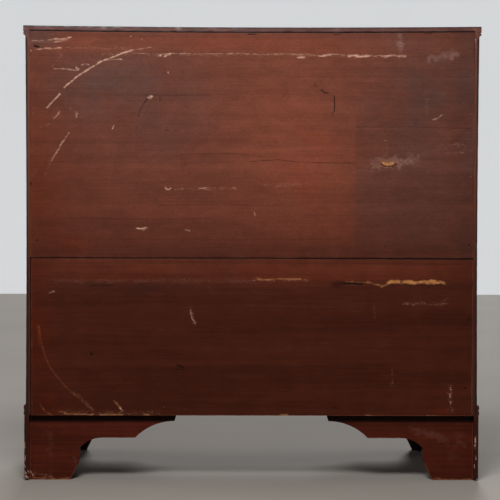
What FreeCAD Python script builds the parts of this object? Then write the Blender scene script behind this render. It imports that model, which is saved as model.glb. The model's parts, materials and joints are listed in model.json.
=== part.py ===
import FreeCAD, Part
import math
import os

# Chest of four long drawers on bracket feet, in millimetres.
# +Z is up, the drawers open towards -Y and the back faces +Y.
# The origin is on the floor, under the middle of the overall width and depth.

# The case: two side boards, a bottom board and a top board
case_width = 956.0  # over the side boards
case_depth = 482.0  # front to back edge of a side board
side_thickness = 19.5
bottom_thickness = 24.0
top_thickness = 25.0
top_side_overhang = 4.5
top_front_overhang = 8.0
foot_height = 139.0  # floor to the underside of the case

# The moulded edge of the top board, from its upper face down
band_height = 12.4  # square band
quirk_depth = 1.8
quirk_height = 1.6
bead_height = 5.6
cove_sag = 0.2  # how far the cove bows in from its chord, as a share of its run and rise

# The back: two wide boards nailed in rabbets, under a lip of the top board
back_thickness = 12.0
rabbet_shoulder = 9.5  # rear edge of a side board left outside the back boards
lip_thickness = 10.2
lip_gap = 0.8
lower_back_height = 333.5
back_joint_gap = 1.0
back_end_gap = 0.5
shrunk_end_gap = 2.6  # the lower board has shrunk away from one rabbet
nail_head = 4.6
nail_head_thickness = 1.2
nail_shank = 2.4
nail_tip = 1.0
nail_length = 34.0
nail_set = 0.7  # depth of a head below the board's face
nail_inset = 6.0  # nail line to the end of a board
nail_pitch_up = 132.0  # along the case sides
nail_pitch_across = 280.0  # along the top and bottom boards
nail_end_margin = 42.0  # first and last nail to a board's edge

# Drawer openings from the top down, and the rails around them
opening_heights = (145.0, 165.0, 185.0, 205.0)
rail_thickness = 18.0
rail_depth = 62.0
rail_tail_reach = 8.0
top_rail_thickness = 20.0
top_rail_depth = 64.0
top_rail_tail_reach = 12.0
top_rail_tail_margin = 9.0  # rail edge to the widest part of its tail
runner_width = 34.0
runner_end_gap = 3.0
stop_width = 40.0
stop_depth = 9.0
stop_height = 6.0
stop_spacing = 540.0
stop_gap = 0.3

# Dovetails
dovetail_slope = 0.17
case_tail_pitch = 78.0
drawer_tail_pitch = 50.0
pin_tip = 5.0  # narrow width of a pin

# Base moulding: two reeds under a small splay, in line with the case bottom
moulding_thickness = 3.4
reed_bulge = 1.4
moulding_set_down = 0.5  # below the upper face of the case bottom
moulding_splay = 1.8
reed_quirk = 0.6

# Bracket feet, the cut outline taken from the corner inwards and from the floor up
bracket_thickness = 18.0
bracket_overhang = 3.6  # proud of the case
foot_width = 96.0
ankle_run = 15.0
ankle_height = 30.0
knee_run = 5.0
ankle_bend = 0.25  # lean half way up the curve above the ankle, as a share of its run
knee_cove_run = 47.0
knee_cove_rise = 22.5
long_shelf_run = 71.0  # front and rear brackets
long_tip_run = 84.0
short_shelf_run = 5.0  # side brackets
short_tip_run = 37.0
tip_cove_rise = 36.0
tip_depth = 13.5
tip_rake = 4.0
rear_bracket_recess = 15.0  # behind the back of the case
bracket_cheek = 10.0  # outer part of a side bracket that runs past the rear bracket
heel_rise = 5.0  # worn heel of a rear side bracket
heel_run = 30.0
block_size = 38.0
block_floor_gap = 5.0

# Drawers
drawer_rear_gap = 22.0  # back of a closed drawer to the back boards
drawer_side_gap = 1.0
drawer_top_gap = 1.6
drawer_lift = 0.2  # running gap over the runners
front_thickness = 22.0
front_lap = 10.5  # left in front of the half-blind dovetails
drawer_side_thickness = 10.0
drawer_side_drop = 2.5  # sides below the upper edge of the front
drawer_back_thickness = 10.0
drawer_back_drop = 7.0  # back below the upper edge of the sides
panel_thickness = 8.0
panel_tongue = 4.5
panel_raise = 8.5  # underside of the panel above the lower edge of the sides
panel_bevel = 32.0
side_groove = 5.0
front_groove = 7.0
bead_thickness = 3.0
bead_depth = 9.5
bead_proud = 2.2
bead_nose_facets = 4

# Pulls: two posts with a bail that swings in them
pull_spacing = 520.0  # between the two pulls of a drawer
pull_raise = 12.0  # posts above the middle of the drawer front
post_spacing = 76.0
post_reach = 13.0  # drawer front to the bail's axis
boss_radius = 9.5
boss_thickness = 2.0
collar_thickness = 3.4
neck_radius = 3.3
head_radius = 5.6
head_half_length = 5.5
head_band = 3.3  # half the straight part of the head
head_tip_radius = 2.8
shank_radius = 2.6
post_sides = 8
shank_sides = 6
pin_sides = 12
nut_width = 11.0
nut_thickness = 4.0
shank_end = 1.5  # shank past the nut
bail_pin_radius = 2.0
bail_pin_clearance = 0.06
bail_arm_radius = 2.3
bail_grip_radius = 3.7
bail_side_gap = 0.9  # head to the bail's arm
bail_elbow_radius = 3.2
bail_corner_radius = 15.0
bail_drop = 34.0  # axis to the middle of the grip
bail_flare = 1.5  # arms lean outwards
bail_pin_recess = 0.8  # pin end short of the head's inner side
bail_pin_root = 0.4  # pin run on into the elbow
bail_grip_start = 4.0  # even part of the grip beside each corner
bail_sides = 8
elbow_steps = 2
corner_steps = 4

# Places that follow from the sizes above
half_case = case_width / 2
half_inside = half_case - side_thickness
case_bottom_z = foot_height
floor_z = case_bottom_z + bottom_thickness
rails_height = (len(opening_heights) - 1) * rail_thickness
case_height = bottom_thickness + sum(opening_heights) + rails_height + top_rail_thickness
case_top_z = case_bottom_z + case_height
overall_depth = case_depth + post_reach + head_half_length
back_y = overall_depth / 2
front_y = back_y - case_depth
panel_back_y = back_y - back_thickness
lip_z = case_top_z + top_thickness - lip_thickness
half_foot = half_case + bracket_overhang
foot_front_y = front_y - bracket_overhang


def vec(x, y, z):
    return FreeCAD.Vector(x, y, z)


def box(x0, x1, y0, y1, z0, z1):
    return Part.makeBox(x1 - x0, y1 - y0, z1 - z0, vec(x0, y0, z0))


def polygon(corners):
    return Part.Face(Part.makePolygon(list(corners) + [corners[0]]))


def prism(corners, through):
    return polygon(corners).extrude(through)


def skinned(rings):
    # A solid of flat faces between rings of corners that follow one another
    faces = [polygon(list(reversed(rings[0]))), polygon(rings[-1])]
    for low, high in zip(rings, rings[1:]):
        for i in range(len(low)):
            j = (i + 1) % len(low)
            faces.append(polygon([low[i], low[j], high[j], high[i]]))
    body = Part.Solid(Part.Shell(faces))
    return body if body.Volume > 0 else body.reversed()


def regular(sides, radius, place):
    # Corners of a regular ring, with a flat towards +a; place(a, b) puts a point of its plane in space
    steps = [2 * math.pi * (i + 0.5) / sides for i in range(sides)]
    return [place(radius * math.cos(t), radius * math.sin(t)) for t in steps]


def line(a, b):
    return Part.LineSegment(a, b).toShape()


def arc(a, middle, b):
    return Part.Arc(a, middle, b).toShape()


def joined(*shapes):
    body = shapes[0].fuse(list(shapes[1:])).removeSplitter()
    return body.Solids[0] if len(body.Solids) == 1 else body


def less(body, *tools):
    body = body.cut(list(tools))
    return body.Solids[0] if len(body.Solids) == 1 else body


def flipped(shape):
    # The same piece on the other side of the chest
    return shape.mirror(vec(0, 0, 0), vec(1, 0, 0))


def write(name, *solids):
    shape = solids[0] if len(solids) == 1 else Part.makeCompound(list(solids))
    shape.exportStep("parts/" + name + ".step")


def tail(middle, narrow, wide, reach, place, through):
    # One dovetail: place(a, b) is the point a along the joint and b out from its shoulder
    corners = [
        place(middle - narrow, 0),
        place(middle + narrow, 0),
        place(middle + wide, reach),
        place(middle - wide, reach),
    ]
    return prism(corners, through)


def tails(low, high, pitch, reach, place, through):
    # A row of dovetails, with half a pin at each end
    count = max(2, round((high - low) / pitch))
    step = (high - low) / count
    wide = (step - pin_tip) / 2
    narrow = wide - dovetail_slope * reach
    return [tail(low + (i + 0.5) * step, narrow, wide, reach, place, through) for i in range(count)]


# Case bottom, with tails that run through the side boards

def bottom_tails():
    def place(a, b):
        return vec(half_inside + b, a, case_bottom_z)

    return tails(front_y, panel_back_y, case_tail_pitch, side_thickness, place, vec(0, 0, bottom_thickness))


def case_bottom():
    board = box(-half_inside, half_inside, front_y, panel_back_y, case_bottom_z, floor_z)
    right = bottom_tails()
    return joined(board, *right, *[flipped(t) for t in right])


# Top rails, lap-dovetailed into the side boards

def top_rail_tail(y0):
    def place(a, b):
        return vec(half_inside + b, a, case_top_z - top_rail_thickness)

    wide = top_rail_depth / 2 - top_rail_tail_margin
    narrow = wide - dovetail_slope * top_rail_tail_reach
    middle = y0 + top_rail_depth / 2
    return tail(middle, narrow, wide, top_rail_tail_reach, place, vec(0, 0, top_rail_thickness))


def top_rail(y0):
    z0 = case_top_z - top_rail_thickness
    rail = box(-half_inside, half_inside, y0, y0 + top_rail_depth, z0, case_top_z)
    return joined(rail, top_rail_tail(y0), flipped(top_rail_tail(y0)))


top_rail_fronts = (front_y, panel_back_y - top_rail_depth)


# Rails between the drawers, each on a dovetail that slides in from the front

def rail_levels():
    # Underside of each rail, from the lowest up
    z = floor_z
    levels = []
    for height in reversed(opening_heights[1:]):
        z += height
        levels.append(z)
        z += rail_thickness
    return levels


def rail_tail(z0):
    wide = rail_thickness / 2
    narrow = wide - dovetail_slope * rail_tail_reach

    def place(a, b):
        return vec(half_inside + b, front_y, z0 + wide + a)

    return tail(0, narrow, wide, rail_tail_reach, place, vec(0, rail_depth, 0))


def drawer_rail(z0):
    rail = box(-half_inside, half_inside, front_y, front_y + rail_depth, z0, z0 + rail_thickness)
    return joined(rail, rail_tail(z0), flipped(rail_tail(z0)))


def runners():
    # A strip on each side board behind every rail, and kickers between the top rails
    strips = []
    for z0 in rail_levels():
        strips.append(
            box(
                half_inside - runner_width,
                half_inside,
                front_y + rail_depth,
                panel_back_y - runner_end_gap,
                z0,
                z0 + rail_thickness,
            )
        )
    strips.append(
        box(
            half_inside - runner_width,
            half_inside,
            front_y + top_rail_depth,
            panel_back_y - top_rail_depth,
            case_top_z - top_rail_thickness,
            case_top_z,
        )
    )
    return strips + [flipped(s) for s in strips]


def opening_floors():
    # The surface that each drawer runs on, from the top drawer down
    tops = [z + rail_thickness for z in rail_levels()]
    return list(reversed([floor_z] + tops))


def stops():
    y0 = front_y + front_thickness + stop_gap
    blocks = []
    for z0 in opening_floors():
        for side in (-1, 1):
            x0 = side * stop_spacing / 2 - stop_width / 2
            blocks.append(box(x0, x0 + stop_width, y0, y0 + stop_depth, z0, z0 + stop_height))
    return blocks


# Side boards: rabbeted for the back, cut for the bottom's tails and the rails' tails

def case_side():
    board = box(half_inside, half_case, front_y, back_y, case_bottom_z, case_top_z)
    rabbet = box(half_inside, half_case - rabbet_shoulder, panel_back_y, back_y, case_bottom_z, case_top_z)
    cuts = [rabbet] + bottom_tails()
    cuts += [top_rail_tail(y0) for y0 in top_rail_fronts]
    cuts += [rail_tail(z0) for z0 in rail_levels()]
    return less(board, *cuts)


# Top board, moulded on three edges and rabbeted at the back

def edge_waste(overhang, place, along):
    # What the moulding planes take off: place(out, up) is a point out from the case and up from its top
    bead_top = top_thickness - band_height - quirk_height
    bead_low = bead_top - bead_height
    quirk_out = overhang - quirk_depth
    clear = overhang + quirk_depth
    edges = [
        line(place(clear, bead_top + quirk_height), place(quirk_out, bead_top + quirk_height)),
        line(place(quirk_out, bead_top + quirk_height), place(quirk_out, bead_top)),
        arc(place(quirk_out, bead_top), place(overhang, (bead_top + bead_low) / 2), place(quirk_out, bead_low)),
        arc(
            place(quirk_out, bead_low),
            place(quirk_out * (0.5 - cove_sag), bead_low * (0.5 + cove_sag)),
            place(0, 0),
        ),
        line(place(0, 0), place(clear, 0)),
        line(place(clear, 0), place(clear, bead_top + quirk_height)),
    ]
    return Part.Face(Part.Wire(edges)).extrude(along)


def top_board():
    half = half_case + top_side_overhang
    board = box(-half, half, front_y - top_front_overhang, back_y, case_top_z, case_top_z + top_thickness)
    run_out = top_front_overhang + quirk_depth

    def at_side(out, up):
        return vec(half_case + out, front_y - run_out, case_top_z + up)

    def at_front(out, up):
        return vec(-half - quirk_depth, front_y - out, case_top_z + up)

    side = edge_waste(top_side_overhang, at_side, vec(0, case_depth + run_out, 0))
    front = edge_waste(top_front_overhang, at_front, vec(2 * (half + quirk_depth), 0, 0))
    half_rabbet = half_case - rabbet_shoulder
    rabbet = box(-half_rabbet, half_rabbet, panel_back_y, back_y, case_top_z, lip_z)
    return less(board, side, flipped(side), front, rabbet)


# Back boards and their nails

def nail(x, z, reach):
    # Shank and head of a cut nail driven in at x, z; reach lengthens the head's pocket to the board's face
    def ring(half, y):
        return [vec(x + a * half, y, z + b * half) for a, b in ((-1, -1), (1, -1), (1, 1), (-1, 1))]

    head_y = back_y - nail_set
    under_y = head_y - nail_head_thickness
    half = nail_head / 2
    head = box(x - half, x + half, under_y, head_y + reach, z - half, z + half)
    shank = skinned([ring(nail_shank / 2, under_y), ring(nail_tip / 2, head_y - nail_length)])
    return joined(head, shank)


def spread(low, high, pitch):
    # Evenly spaced places from low to high
    count = max(1, round((high - low) / pitch))
    return [low + (high - low) * i / count for i in range(count + 1)]


lower_back_top = case_bottom_z + lower_back_height
upper_back_low = lower_back_top + back_joint_gap
upper_back_top = lip_z - lip_gap
half_back = half_case - rabbet_shoulder - back_end_gap
nail_x = half_back - nail_inset


def nail_places():
    upper = spread(upper_back_low + nail_end_margin, upper_back_top - nail_end_margin, nail_pitch_up)
    lower = spread(case_bottom_z + nail_end_margin, lower_back_top - nail_end_margin, nail_pitch_up)
    places = [(side * nail_x, z) for side in (-1, 1) for z in upper + lower]
    across = spread(-nail_x + nail_end_margin, nail_x - nail_end_margin, nail_pitch_across)
    rabbet_middle = (case_top_z + upper_back_top) / 2
    bottom_middle = case_bottom_z + bottom_thickness / 2
    return places + [(x, z) for z in (rabbet_middle, bottom_middle) for x in across]


def back_board(low, high, gap_right):
    right = half_case - rabbet_shoulder - gap_right
    board = box(-half_back, right, panel_back_y, back_y, low, high)
    holes = [nail(x, z, nail_set) for x, z in nail_places() if low < z < high]
    return less(board, *holes)


def nailed(body):
    # The part of every nail hole that runs on into a board behind the back
    reach = body.BoundBox
    holes = [nail(x, z, 0) for x, z in nail_places() if reach.ZMin < z < reach.ZMax]
    return less(body, *[h for h in holes if h.BoundBox.intersect(reach)])


# Base moulding on the front and sides

def moulding_face(place):
    # place(out, up) is a point out from the case and up from its underside
    height = bottom_thickness - moulding_set_down
    reed = (height - moulding_splay - reed_quirk) / 2
    edges = [line(place(0, 0), place(moulding_thickness, 0))]
    low = 0
    for gap in (reed_quirk, 0):
        edges.append(
            arc(
                place(moulding_thickness, low),
                place(moulding_thickness + reed_bulge, low + reed / 2),
                place(moulding_thickness, low + reed),
            )
        )
        if gap:
            edges.append(line(place(moulding_thickness, low + reed), place(moulding_thickness, low + reed + gap)))
        low += reed + gap
    edges += [line(place(moulding_thickness, low), place(0, height)), line(place(0, height), place(0, 0))]
    return Part.Face(Part.Wire(edges))


def moulding_corner(in_front):
    # Waste past the mitre, for the front length or for a side length
    reach = moulding_thickness + 2 * reed_bulge
    corner = (half_case, front_y)
    far = (half_case + reach, front_y - reach)
    other = (far[0], corner[1]) if in_front else (corner[0], far[1])
    inner = [corner, far, other]
    return prism([vec(x, y, case_bottom_z) for x, y in inner], vec(0, 0, bottom_thickness))


def moulding_side():
    reach = moulding_thickness + 2 * reed_bulge

    def place(out, up):
        return vec(half_case + out, front_y - reach, case_bottom_z + up)

    strip = moulding_face(place).extrude(vec(0, case_depth + reach, 0))
    return less(strip, moulding_corner(False))


def moulding_front():
    reach = moulding_thickness + 2 * reed_bulge

    def place(out, up):
        return vec(-half_case - reach, front_y - out, case_bottom_z + up)

    strip = moulding_face(place).extrude(vec(2 * (half_case + reach), 0, 0))
    corner = moulding_corner(True)
    return less(strip, corner, flipped(corner))


# Bracket feet

def cove(a, b, place):
    # An arc from a up to b that ends level
    run = b[0] - a[0]
    rise = b[1] - a[1]
    radius = (run * run + rise * rise) / (2 * rise)
    centre = (b[0], b[1] - radius)
    start = math.atan2(a[1] - centre[1], a[0] - centre[0])
    middle = (start + math.pi / 2) / 2
    top = place(centre[0] + radius * math.cos(middle), centre[1] + radius * math.sin(middle))
    return arc(place(*a), top, place(*b))


def bracket(start, shelf_run, tip_run, place, through, worn=False):
    # place(u, z) is the point u in from the foot's corner and z over the floor; start is where the board begins
    tip_height = foot_height - tip_depth
    shelf_height = tip_height - tip_cove_rise
    knee = (foot_width + ankle_run + knee_run, shelf_height - knee_cove_rise)
    ankle = (foot_width + ankle_run, ankle_height)
    shelf = (knee[0] + knee_cove_run, shelf_height)
    shelf_end = (shelf[0] + shelf_run, shelf_height)
    tip = (shelf_end[0] + tip_run, tip_height)
    slope = ankle_run / ankle_height
    rise = knee[1] - ankle[1]
    bend = (ankle[0] + ankle_bend * (slope * rise + knee_run), ankle[1] + rise / 2)
    toe = (foot_width, 0)
    end_top = (tip[0] + tip_rake, foot_height)
    edges = []
    if worn:
        heel = (start + heel_run, 0)
        edges += [line(place(start, heel_rise), place(*heel)), line(place(*heel), place(*toe))]
        low = heel_rise
    else:
        edges.append(line(place(start, 0), place(*toe)))
        low = 0
    edges += [
        line(place(*toe), place(*ankle)),
        arc(place(*ankle), place(*bend), place(*knee)),
        cove(knee, shelf, place),
        line(place(*shelf), place(*shelf_end)),
        cove(shelf_end, tip, place),
        line(place(*tip), place(*end_top)),
        line(place(*end_top), place(start, foot_height)),
        line(place(start, foot_height), place(start, low)),
    ]
    return Part.Face(Part.Wire(edges)).extrude(through)


def rear_bracket():
    y1 = back_y - rear_bracket_recess
    return bracket(
        bracket_cheek,
        long_shelf_run,
        long_tip_run,
        lambda u, z: vec(half_foot - u, y1 - bracket_thickness, z),
        vec(0, bracket_thickness, 0),
    )


def rear_side_bracket():
    board = bracket(
        0,
        short_shelf_run,
        short_tip_run,
        lambda u, z: vec(half_foot - bracket_thickness, back_y - u, z),
        vec(bracket_thickness, 0, 0),
        worn=True,
    )
    seat_y = back_y - rear_bracket_recess - bracket_thickness
    seat = box(half_foot - bracket_thickness, half_foot - bracket_cheek, seat_y, back_y, 0, foot_height)
    return less(board, seat)


def foot_mitre(in_front):
    outer = (half_foot, foot_front_y)
    inner = (half_foot - bracket_thickness, foot_front_y + bracket_thickness)
    other = (outer[0], inner[1]) if in_front else (inner[0], outer[1])
    return prism([vec(x, y, 0) for x, y in (outer, inner, other)], vec(0, 0, foot_height))


def front_bracket():
    board = bracket(
        0,
        long_shelf_run,
        long_tip_run,
        lambda u, z: vec(half_foot - u, foot_front_y, z),
        vec(0, bracket_thickness, 0),
    )
    return less(board, foot_mitre(True))


def front_side_bracket():
    board = bracket(
        0,
        short_shelf_run,
        short_tip_run,
        lambda u, z: vec(half_foot - bracket_thickness, foot_front_y + u, z),
        vec(bracket_thickness, 0, 0),
    )
    return less(board, foot_mitre(False))


def corner_blocks():
    x1 = half_foot - bracket_thickness
    front0 = foot_front_y + bracket_thickness
    rear1 = back_y - rear_bracket_recess - bracket_thickness
    blocks = []
    for y0 in (front0, rear1 - block_size):
        blocks.append(box(x1 - block_size, x1, y0, y0 + block_size, block_floor_gap, foot_height))
    return blocks + [flipped(b) for b in blocks]


# Drawers

class Drawer:
    # The planes of one drawer, from the opening that it fills
    def __init__(self, floor, opening):
        self.half = half_inside - drawer_side_gap
        self.low = floor + drawer_lift
        self.high = floor + opening - drawer_top_gap
        self.side_top = self.high - drawer_side_drop
        self.back_top = self.side_top - drawer_back_drop
        self.inner = self.half - drawer_side_thickness
        self.inner_y = front_y + front_thickness
        self.rear_y = panel_back_y - drawer_rear_gap
        self.panel_low = self.low + panel_raise
        self.panel_top = self.panel_low + panel_thickness
        self.pull_z = (self.low + self.high) / 2 + pull_raise


def front_tails(d):
    def place(a, b):
        return vec(d.inner, d.inner_y - b, a)

    reach = front_thickness - front_lap
    return tails(d.low, d.side_top, drawer_tail_pitch, reach, place, vec(drawer_side_thickness, 0, 0))


def back_pins(d):
    def place(a, b):
        return vec(d.inner, d.rear_y - drawer_back_thickness + b, a)

    through = vec(drawer_side_thickness, 0, 0)
    row = tails(d.panel_top, d.back_top, drawer_tail_pitch, drawer_back_thickness, place, through)
    block = box(d.inner, d.half, d.rear_y - drawer_back_thickness, d.rear_y, d.panel_top, d.back_top)
    return block.cut(row).Solids


def drawer_side(d):
    board = box(d.inner, d.half, d.inner_y, d.rear_y, d.low, d.side_top)
    return less(joined(board, *front_tails(d)), drawer_panel(d), *back_pins(d))


def drawer_back(d):
    board = box(-d.inner, d.inner, d.rear_y - drawer_back_thickness, d.rear_y, d.panel_top, d.back_top)
    pins = back_pins(d)
    return joined(board, *pins, *[flipped(p) for p in pins])


def drawer_panel(d):
    # Bottom board: its tongue runs in grooves of the sides and the front, with a wide bevel underneath
    half = d.inner + side_groove
    y0 = d.inner_y - front_groove
    step = d.panel_low + panel_thickness - panel_tongue
    board = box(-half, half, y0, d.rear_y, d.panel_low, d.panel_top)

    def bevel(place, groove, along):
        corners = [
            place(0, d.panel_low),
            place(0, step),
            place(groove, step),
            place(groove + panel_bevel, d.panel_low),
        ]
        return prism(corners, along)

    side = bevel(lambda u, z: vec(half - u, y0, z), side_groove, vec(0, d.rear_y - y0, 0))
    front = bevel(lambda u, z: vec(-half, y0 + u, z), front_groove, vec(2 * half, 0, 0))
    return less(board, side, flipped(side), front)


def cock_beads(d):
    # Four strips with a round nose, mitred at the corners
    y_nose = front_y - bead_proud
    y_round = y_nose + bead_thickness / 2
    y_in = front_y + bead_depth

    def section(place, along):
        radius = bead_thickness / 2
        steps = [math.pi * i / bead_nose_facets for i in range(bead_nose_facets + 1)]
        nose = [place(radius - radius * math.cos(t), y_round - radius * math.sin(t)) for t in steps]
        return prism([place(0, y_in)] + nose + [place(bead_thickness, y_in)], along)

    def mitre(x, z, inward, upright):
        # inward holds the signs of the directions from the corner into the front
        x1 = x + inward[0] * bead_thickness
        z1 = z + inward[1] * bead_thickness
        third = (x1, z) if upright else (x, z1)
        corners = [vec(x, y_nose, z), vec(x1, y_nose, z1), vec(third[0], y_nose, third[1])]
        return prism(corners, vec(0, y_in - y_nose, 0))

    width = vec(2 * d.half, 0, 0)
    height = vec(0, 0, d.high - d.low)
    top = section(lambda t, y: vec(-d.half, y, d.high - t), width)
    low = section(lambda t, y: vec(-d.half, y, d.low + t), width)
    left = section(lambda t, y: vec(-d.half + t, y, d.low), height)
    right = section(lambda t, y: vec(d.half - t, y, d.low), height)
    corners = [(side * d.half, z, (-side, up)) for side in (-1, 1) for z, up in ((d.high, -1), (d.low, 1))]
    level = [mitre(x, z, inward, False) for x, z, inward in corners]
    upright = [mitre(x, z, inward, True) for x, z, inward in corners]
    return [less(top, *level), less(low, *level), less(left, *upright), less(right, *upright)]


def drawer_front(d):
    board = box(-d.half, d.half, front_y, d.inner_y, d.low, d.high)
    core = box(
        -d.half + bead_thickness,
        d.half - bead_thickness,
        front_y,
        front_y + bead_depth,
        d.low + bead_thickness,
        d.high - bead_thickness,
    )
    rim = box(-d.half, d.half, front_y, front_y + bead_depth, d.low, d.high).cut(core)
    sockets = front_tails(d)
    shanks = [shank(x, d.pull_z) for x in post_places()]
    return less(board, rim, *sockets, *[flipped(s) for s in sockets], drawer_panel(d), *shanks)


# Pulls

def post_places():
    return [
        pull * pull_spacing / 2 + side * post_spacing / 2
        for pull in (-1, 1)
        for side in (-1, 1)
    ]


def shank(x, z):
    y1 = front_y + front_thickness + nut_thickness + shank_end
    ring = regular(shank_sides, shank_radius, lambda a, b: vec(x + a, front_y, z + b))
    return prism(ring, vec(0, y1 - front_y, 0))


def post(x, z):
    # Boss against the drawer front, a neck that widens, and a head bored for the bail
    rings = [
        (0, boss_radius),
        (boss_thickness, boss_radius),
        (collar_thickness, neck_radius),
        (post_reach - head_band, head_radius),
        (post_reach + head_band, head_radius),
        (post_reach + head_half_length, head_tip_radius),
    ]
    turned = skinned(
        [regular(post_sides, radius, lambda a, b, out=out: vec(x + a, front_y - out, z + b)) for out, radius in rings]
    )
    # The flats of the bore clear the pin
    bore_radius = (bail_pin_radius + bail_pin_clearance) / math.cos(math.pi / pin_sides)
    ring = regular(pin_sides, bore_radius, lambda a, b: vec(x - boss_radius, front_y - post_reach + a, z + b))
    return joined(less(turned, prism(ring, vec(2 * boss_radius, 0, 0))), shank(x, z))


def nut(x, z):
    half = nut_width / 2
    y0 = front_y + front_thickness
    body = box(x - half, x + half, y0, y0 + nut_thickness, z - half, z + half)
    return less(body, shank(x, z))


def bail_path():
    # Elbow, leaning arm, round corner and half the grip, as (x, distance below the axis, radius)
    arm_x = post_spacing / 2 + head_radius + bail_side_gap + bail_arm_radius
    elbow_x = arm_x - bail_elbow_radius
    corner_x = arm_x + bail_flare - bail_corner_radius
    corner_down = bail_drop - bail_corner_radius
    half = []
    for i in range(elbow_steps + 1):
        turn = math.pi / 2 * i / elbow_steps
        x = elbow_x + bail_elbow_radius * math.sin(turn)
        half.append((x, bail_elbow_radius * (1 - math.cos(turn)), bail_arm_radius))
    for i in range(corner_steps + 1):
        turn = math.pi / 2 * i / corner_steps
        x = corner_x + bail_corner_radius * math.cos(turn)
        half.append((x, corner_down + bail_corner_radius * math.sin(turn), bail_arm_radius))
    half.append((corner_x - bail_grip_start, bail_drop, bail_arm_radius))
    return half + [(0, bail_drop, bail_grip_radius)] + [(-x, down, radius) for x, down, radius in reversed(half)]


def bail(middle_x, z):
    # A rod of flat facets, mitred at each point of its path, with a round pin at each end
    path = bail_path()
    level = (1.0, 0.0)

    def heading(a, b):
        length = math.hypot(b[0] - a[0], b[1] - a[1])
        return ((b[0] - a[0]) / length, (b[1] - a[1]) / length)

    headings = [level] + [heading(a, b) for a, b in zip(path, path[1:])] + [level]
    rings = []
    for (x, down, radius), before, after in zip(path, headings, headings[1:]):
        across = (before[1] + after[1], -before[0] - after[0])
        size = math.hypot(*across)
        stretch = size / (across[0] * before[1] - across[1] * before[0])
        across = (across[0] / size * stretch, across[1] / size * stretch)

        def place(a, b, x=x, down=down, across=across):
            return vec(middle_x + x + a * across[0], front_y - post_reach + b, z - down - a * across[1])

        rings.append(regular(bail_sides, radius, place))
    inner_end = post_spacing / 2 - head_radius + bail_pin_recess
    length = path[0][0] + bail_pin_root - inner_end
    pins = []
    for side in (-1, 1):
        start = middle_x + side * inner_end
        end = regular(pin_sides, bail_pin_radius, lambda a, b: vec(start, front_y - post_reach + a, z + b))
        pins.append(prism(end, vec(side * length, 0, 0)))
    return joined(skinned(rings), *pins)


# Write every piece
os.makedirs("parts", exist_ok=True)

write("top_board", nailed(top_board()))
write("case_side_right", nailed(case_side()))
write("case_side_left", nailed(flipped(case_side())))
write("case_bottom", nailed(case_bottom()))
write("top_rails", *[nailed(top_rail(y0)) for y0 in top_rail_fronts])
write("drawer_rails", *[drawer_rail(z0) for z0 in rail_levels()])
write("drawer_runners", *runners())
write("drawer_stops", *stops())
write("back_board_lower", back_board(case_bottom_z, lower_back_top, shrunk_end_gap))
write("back_board_upper", back_board(upper_back_low, upper_back_top, back_end_gap))
write("back_nails", *[nail(x, z, 0) for x, z in nail_places()])
write("base_moulding_front", moulding_front())
write("base_moulding_right", moulding_side())
write("base_moulding_left", flipped(moulding_side()))
write("foot_corner_blocks", *corner_blocks())

brackets = {
    "foot_front_{}_face": front_bracket(),
    "foot_front_{}_side": front_side_bracket(),
    "foot_rear_{}_side": rear_side_bracket(),
    "foot_rear_{}_back": rear_bracket(),
}
for name, right_bracket in brackets.items():
    write(name.format("right"), right_bracket)
    write(name.format("left"), flipped(right_bracket))

for number, (floor, opening) in enumerate(zip(opening_floors(), opening_heights), start=1):
    d = Drawer(floor, opening)
    name = "drawer_{}_".format(number)
    write(name + "front", drawer_front(d))
    write(name + "side_right", drawer_side(d))
    write(name + "side_left", flipped(drawer_side(d)))
    write(name + "back", drawer_back(d))
    write(name + "bottom", drawer_panel(d))
    write(name + "cock_beads", *cock_beads(d))
    fittings = [piece(x, d.pull_z) for piece in (post, nut) for x in post_places()]
    write(name + "pull_posts", *fittings)
    write(name + "bail_left", bail(-pull_spacing / 2, d.pull_z))
    write(name + "bail_right", bail(pull_spacing / 2, d.pull_z))
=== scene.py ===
import itertools
import json
import math

import bmesh
import bpy
import numpy as np
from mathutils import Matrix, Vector, noise


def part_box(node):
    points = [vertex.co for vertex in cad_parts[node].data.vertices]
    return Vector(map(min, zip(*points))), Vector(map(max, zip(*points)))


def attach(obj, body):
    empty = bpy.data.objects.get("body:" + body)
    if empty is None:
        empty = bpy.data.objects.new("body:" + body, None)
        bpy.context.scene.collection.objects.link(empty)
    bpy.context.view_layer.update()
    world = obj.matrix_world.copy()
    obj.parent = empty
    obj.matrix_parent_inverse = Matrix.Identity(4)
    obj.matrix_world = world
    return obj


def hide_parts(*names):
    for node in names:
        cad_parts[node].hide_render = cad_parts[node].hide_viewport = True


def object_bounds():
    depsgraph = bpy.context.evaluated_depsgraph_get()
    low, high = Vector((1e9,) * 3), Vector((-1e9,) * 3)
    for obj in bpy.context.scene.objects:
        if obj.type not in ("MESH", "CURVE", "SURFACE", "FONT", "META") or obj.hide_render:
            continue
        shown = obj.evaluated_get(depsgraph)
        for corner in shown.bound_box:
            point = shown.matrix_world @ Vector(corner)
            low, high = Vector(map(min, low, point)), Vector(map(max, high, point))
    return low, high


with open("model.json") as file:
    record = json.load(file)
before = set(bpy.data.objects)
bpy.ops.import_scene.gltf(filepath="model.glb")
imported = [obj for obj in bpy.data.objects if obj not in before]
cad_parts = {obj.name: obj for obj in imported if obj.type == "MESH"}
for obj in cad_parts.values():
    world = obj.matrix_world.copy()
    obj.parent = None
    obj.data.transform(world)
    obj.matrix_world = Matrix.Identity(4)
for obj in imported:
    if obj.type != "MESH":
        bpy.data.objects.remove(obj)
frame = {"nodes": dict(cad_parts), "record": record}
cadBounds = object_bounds()
nodes = frame["nodes"]
mm = 0.001
print("frame loaded:", len(nodes), "nodes")


# What the looks share, worked out from the frame

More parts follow.
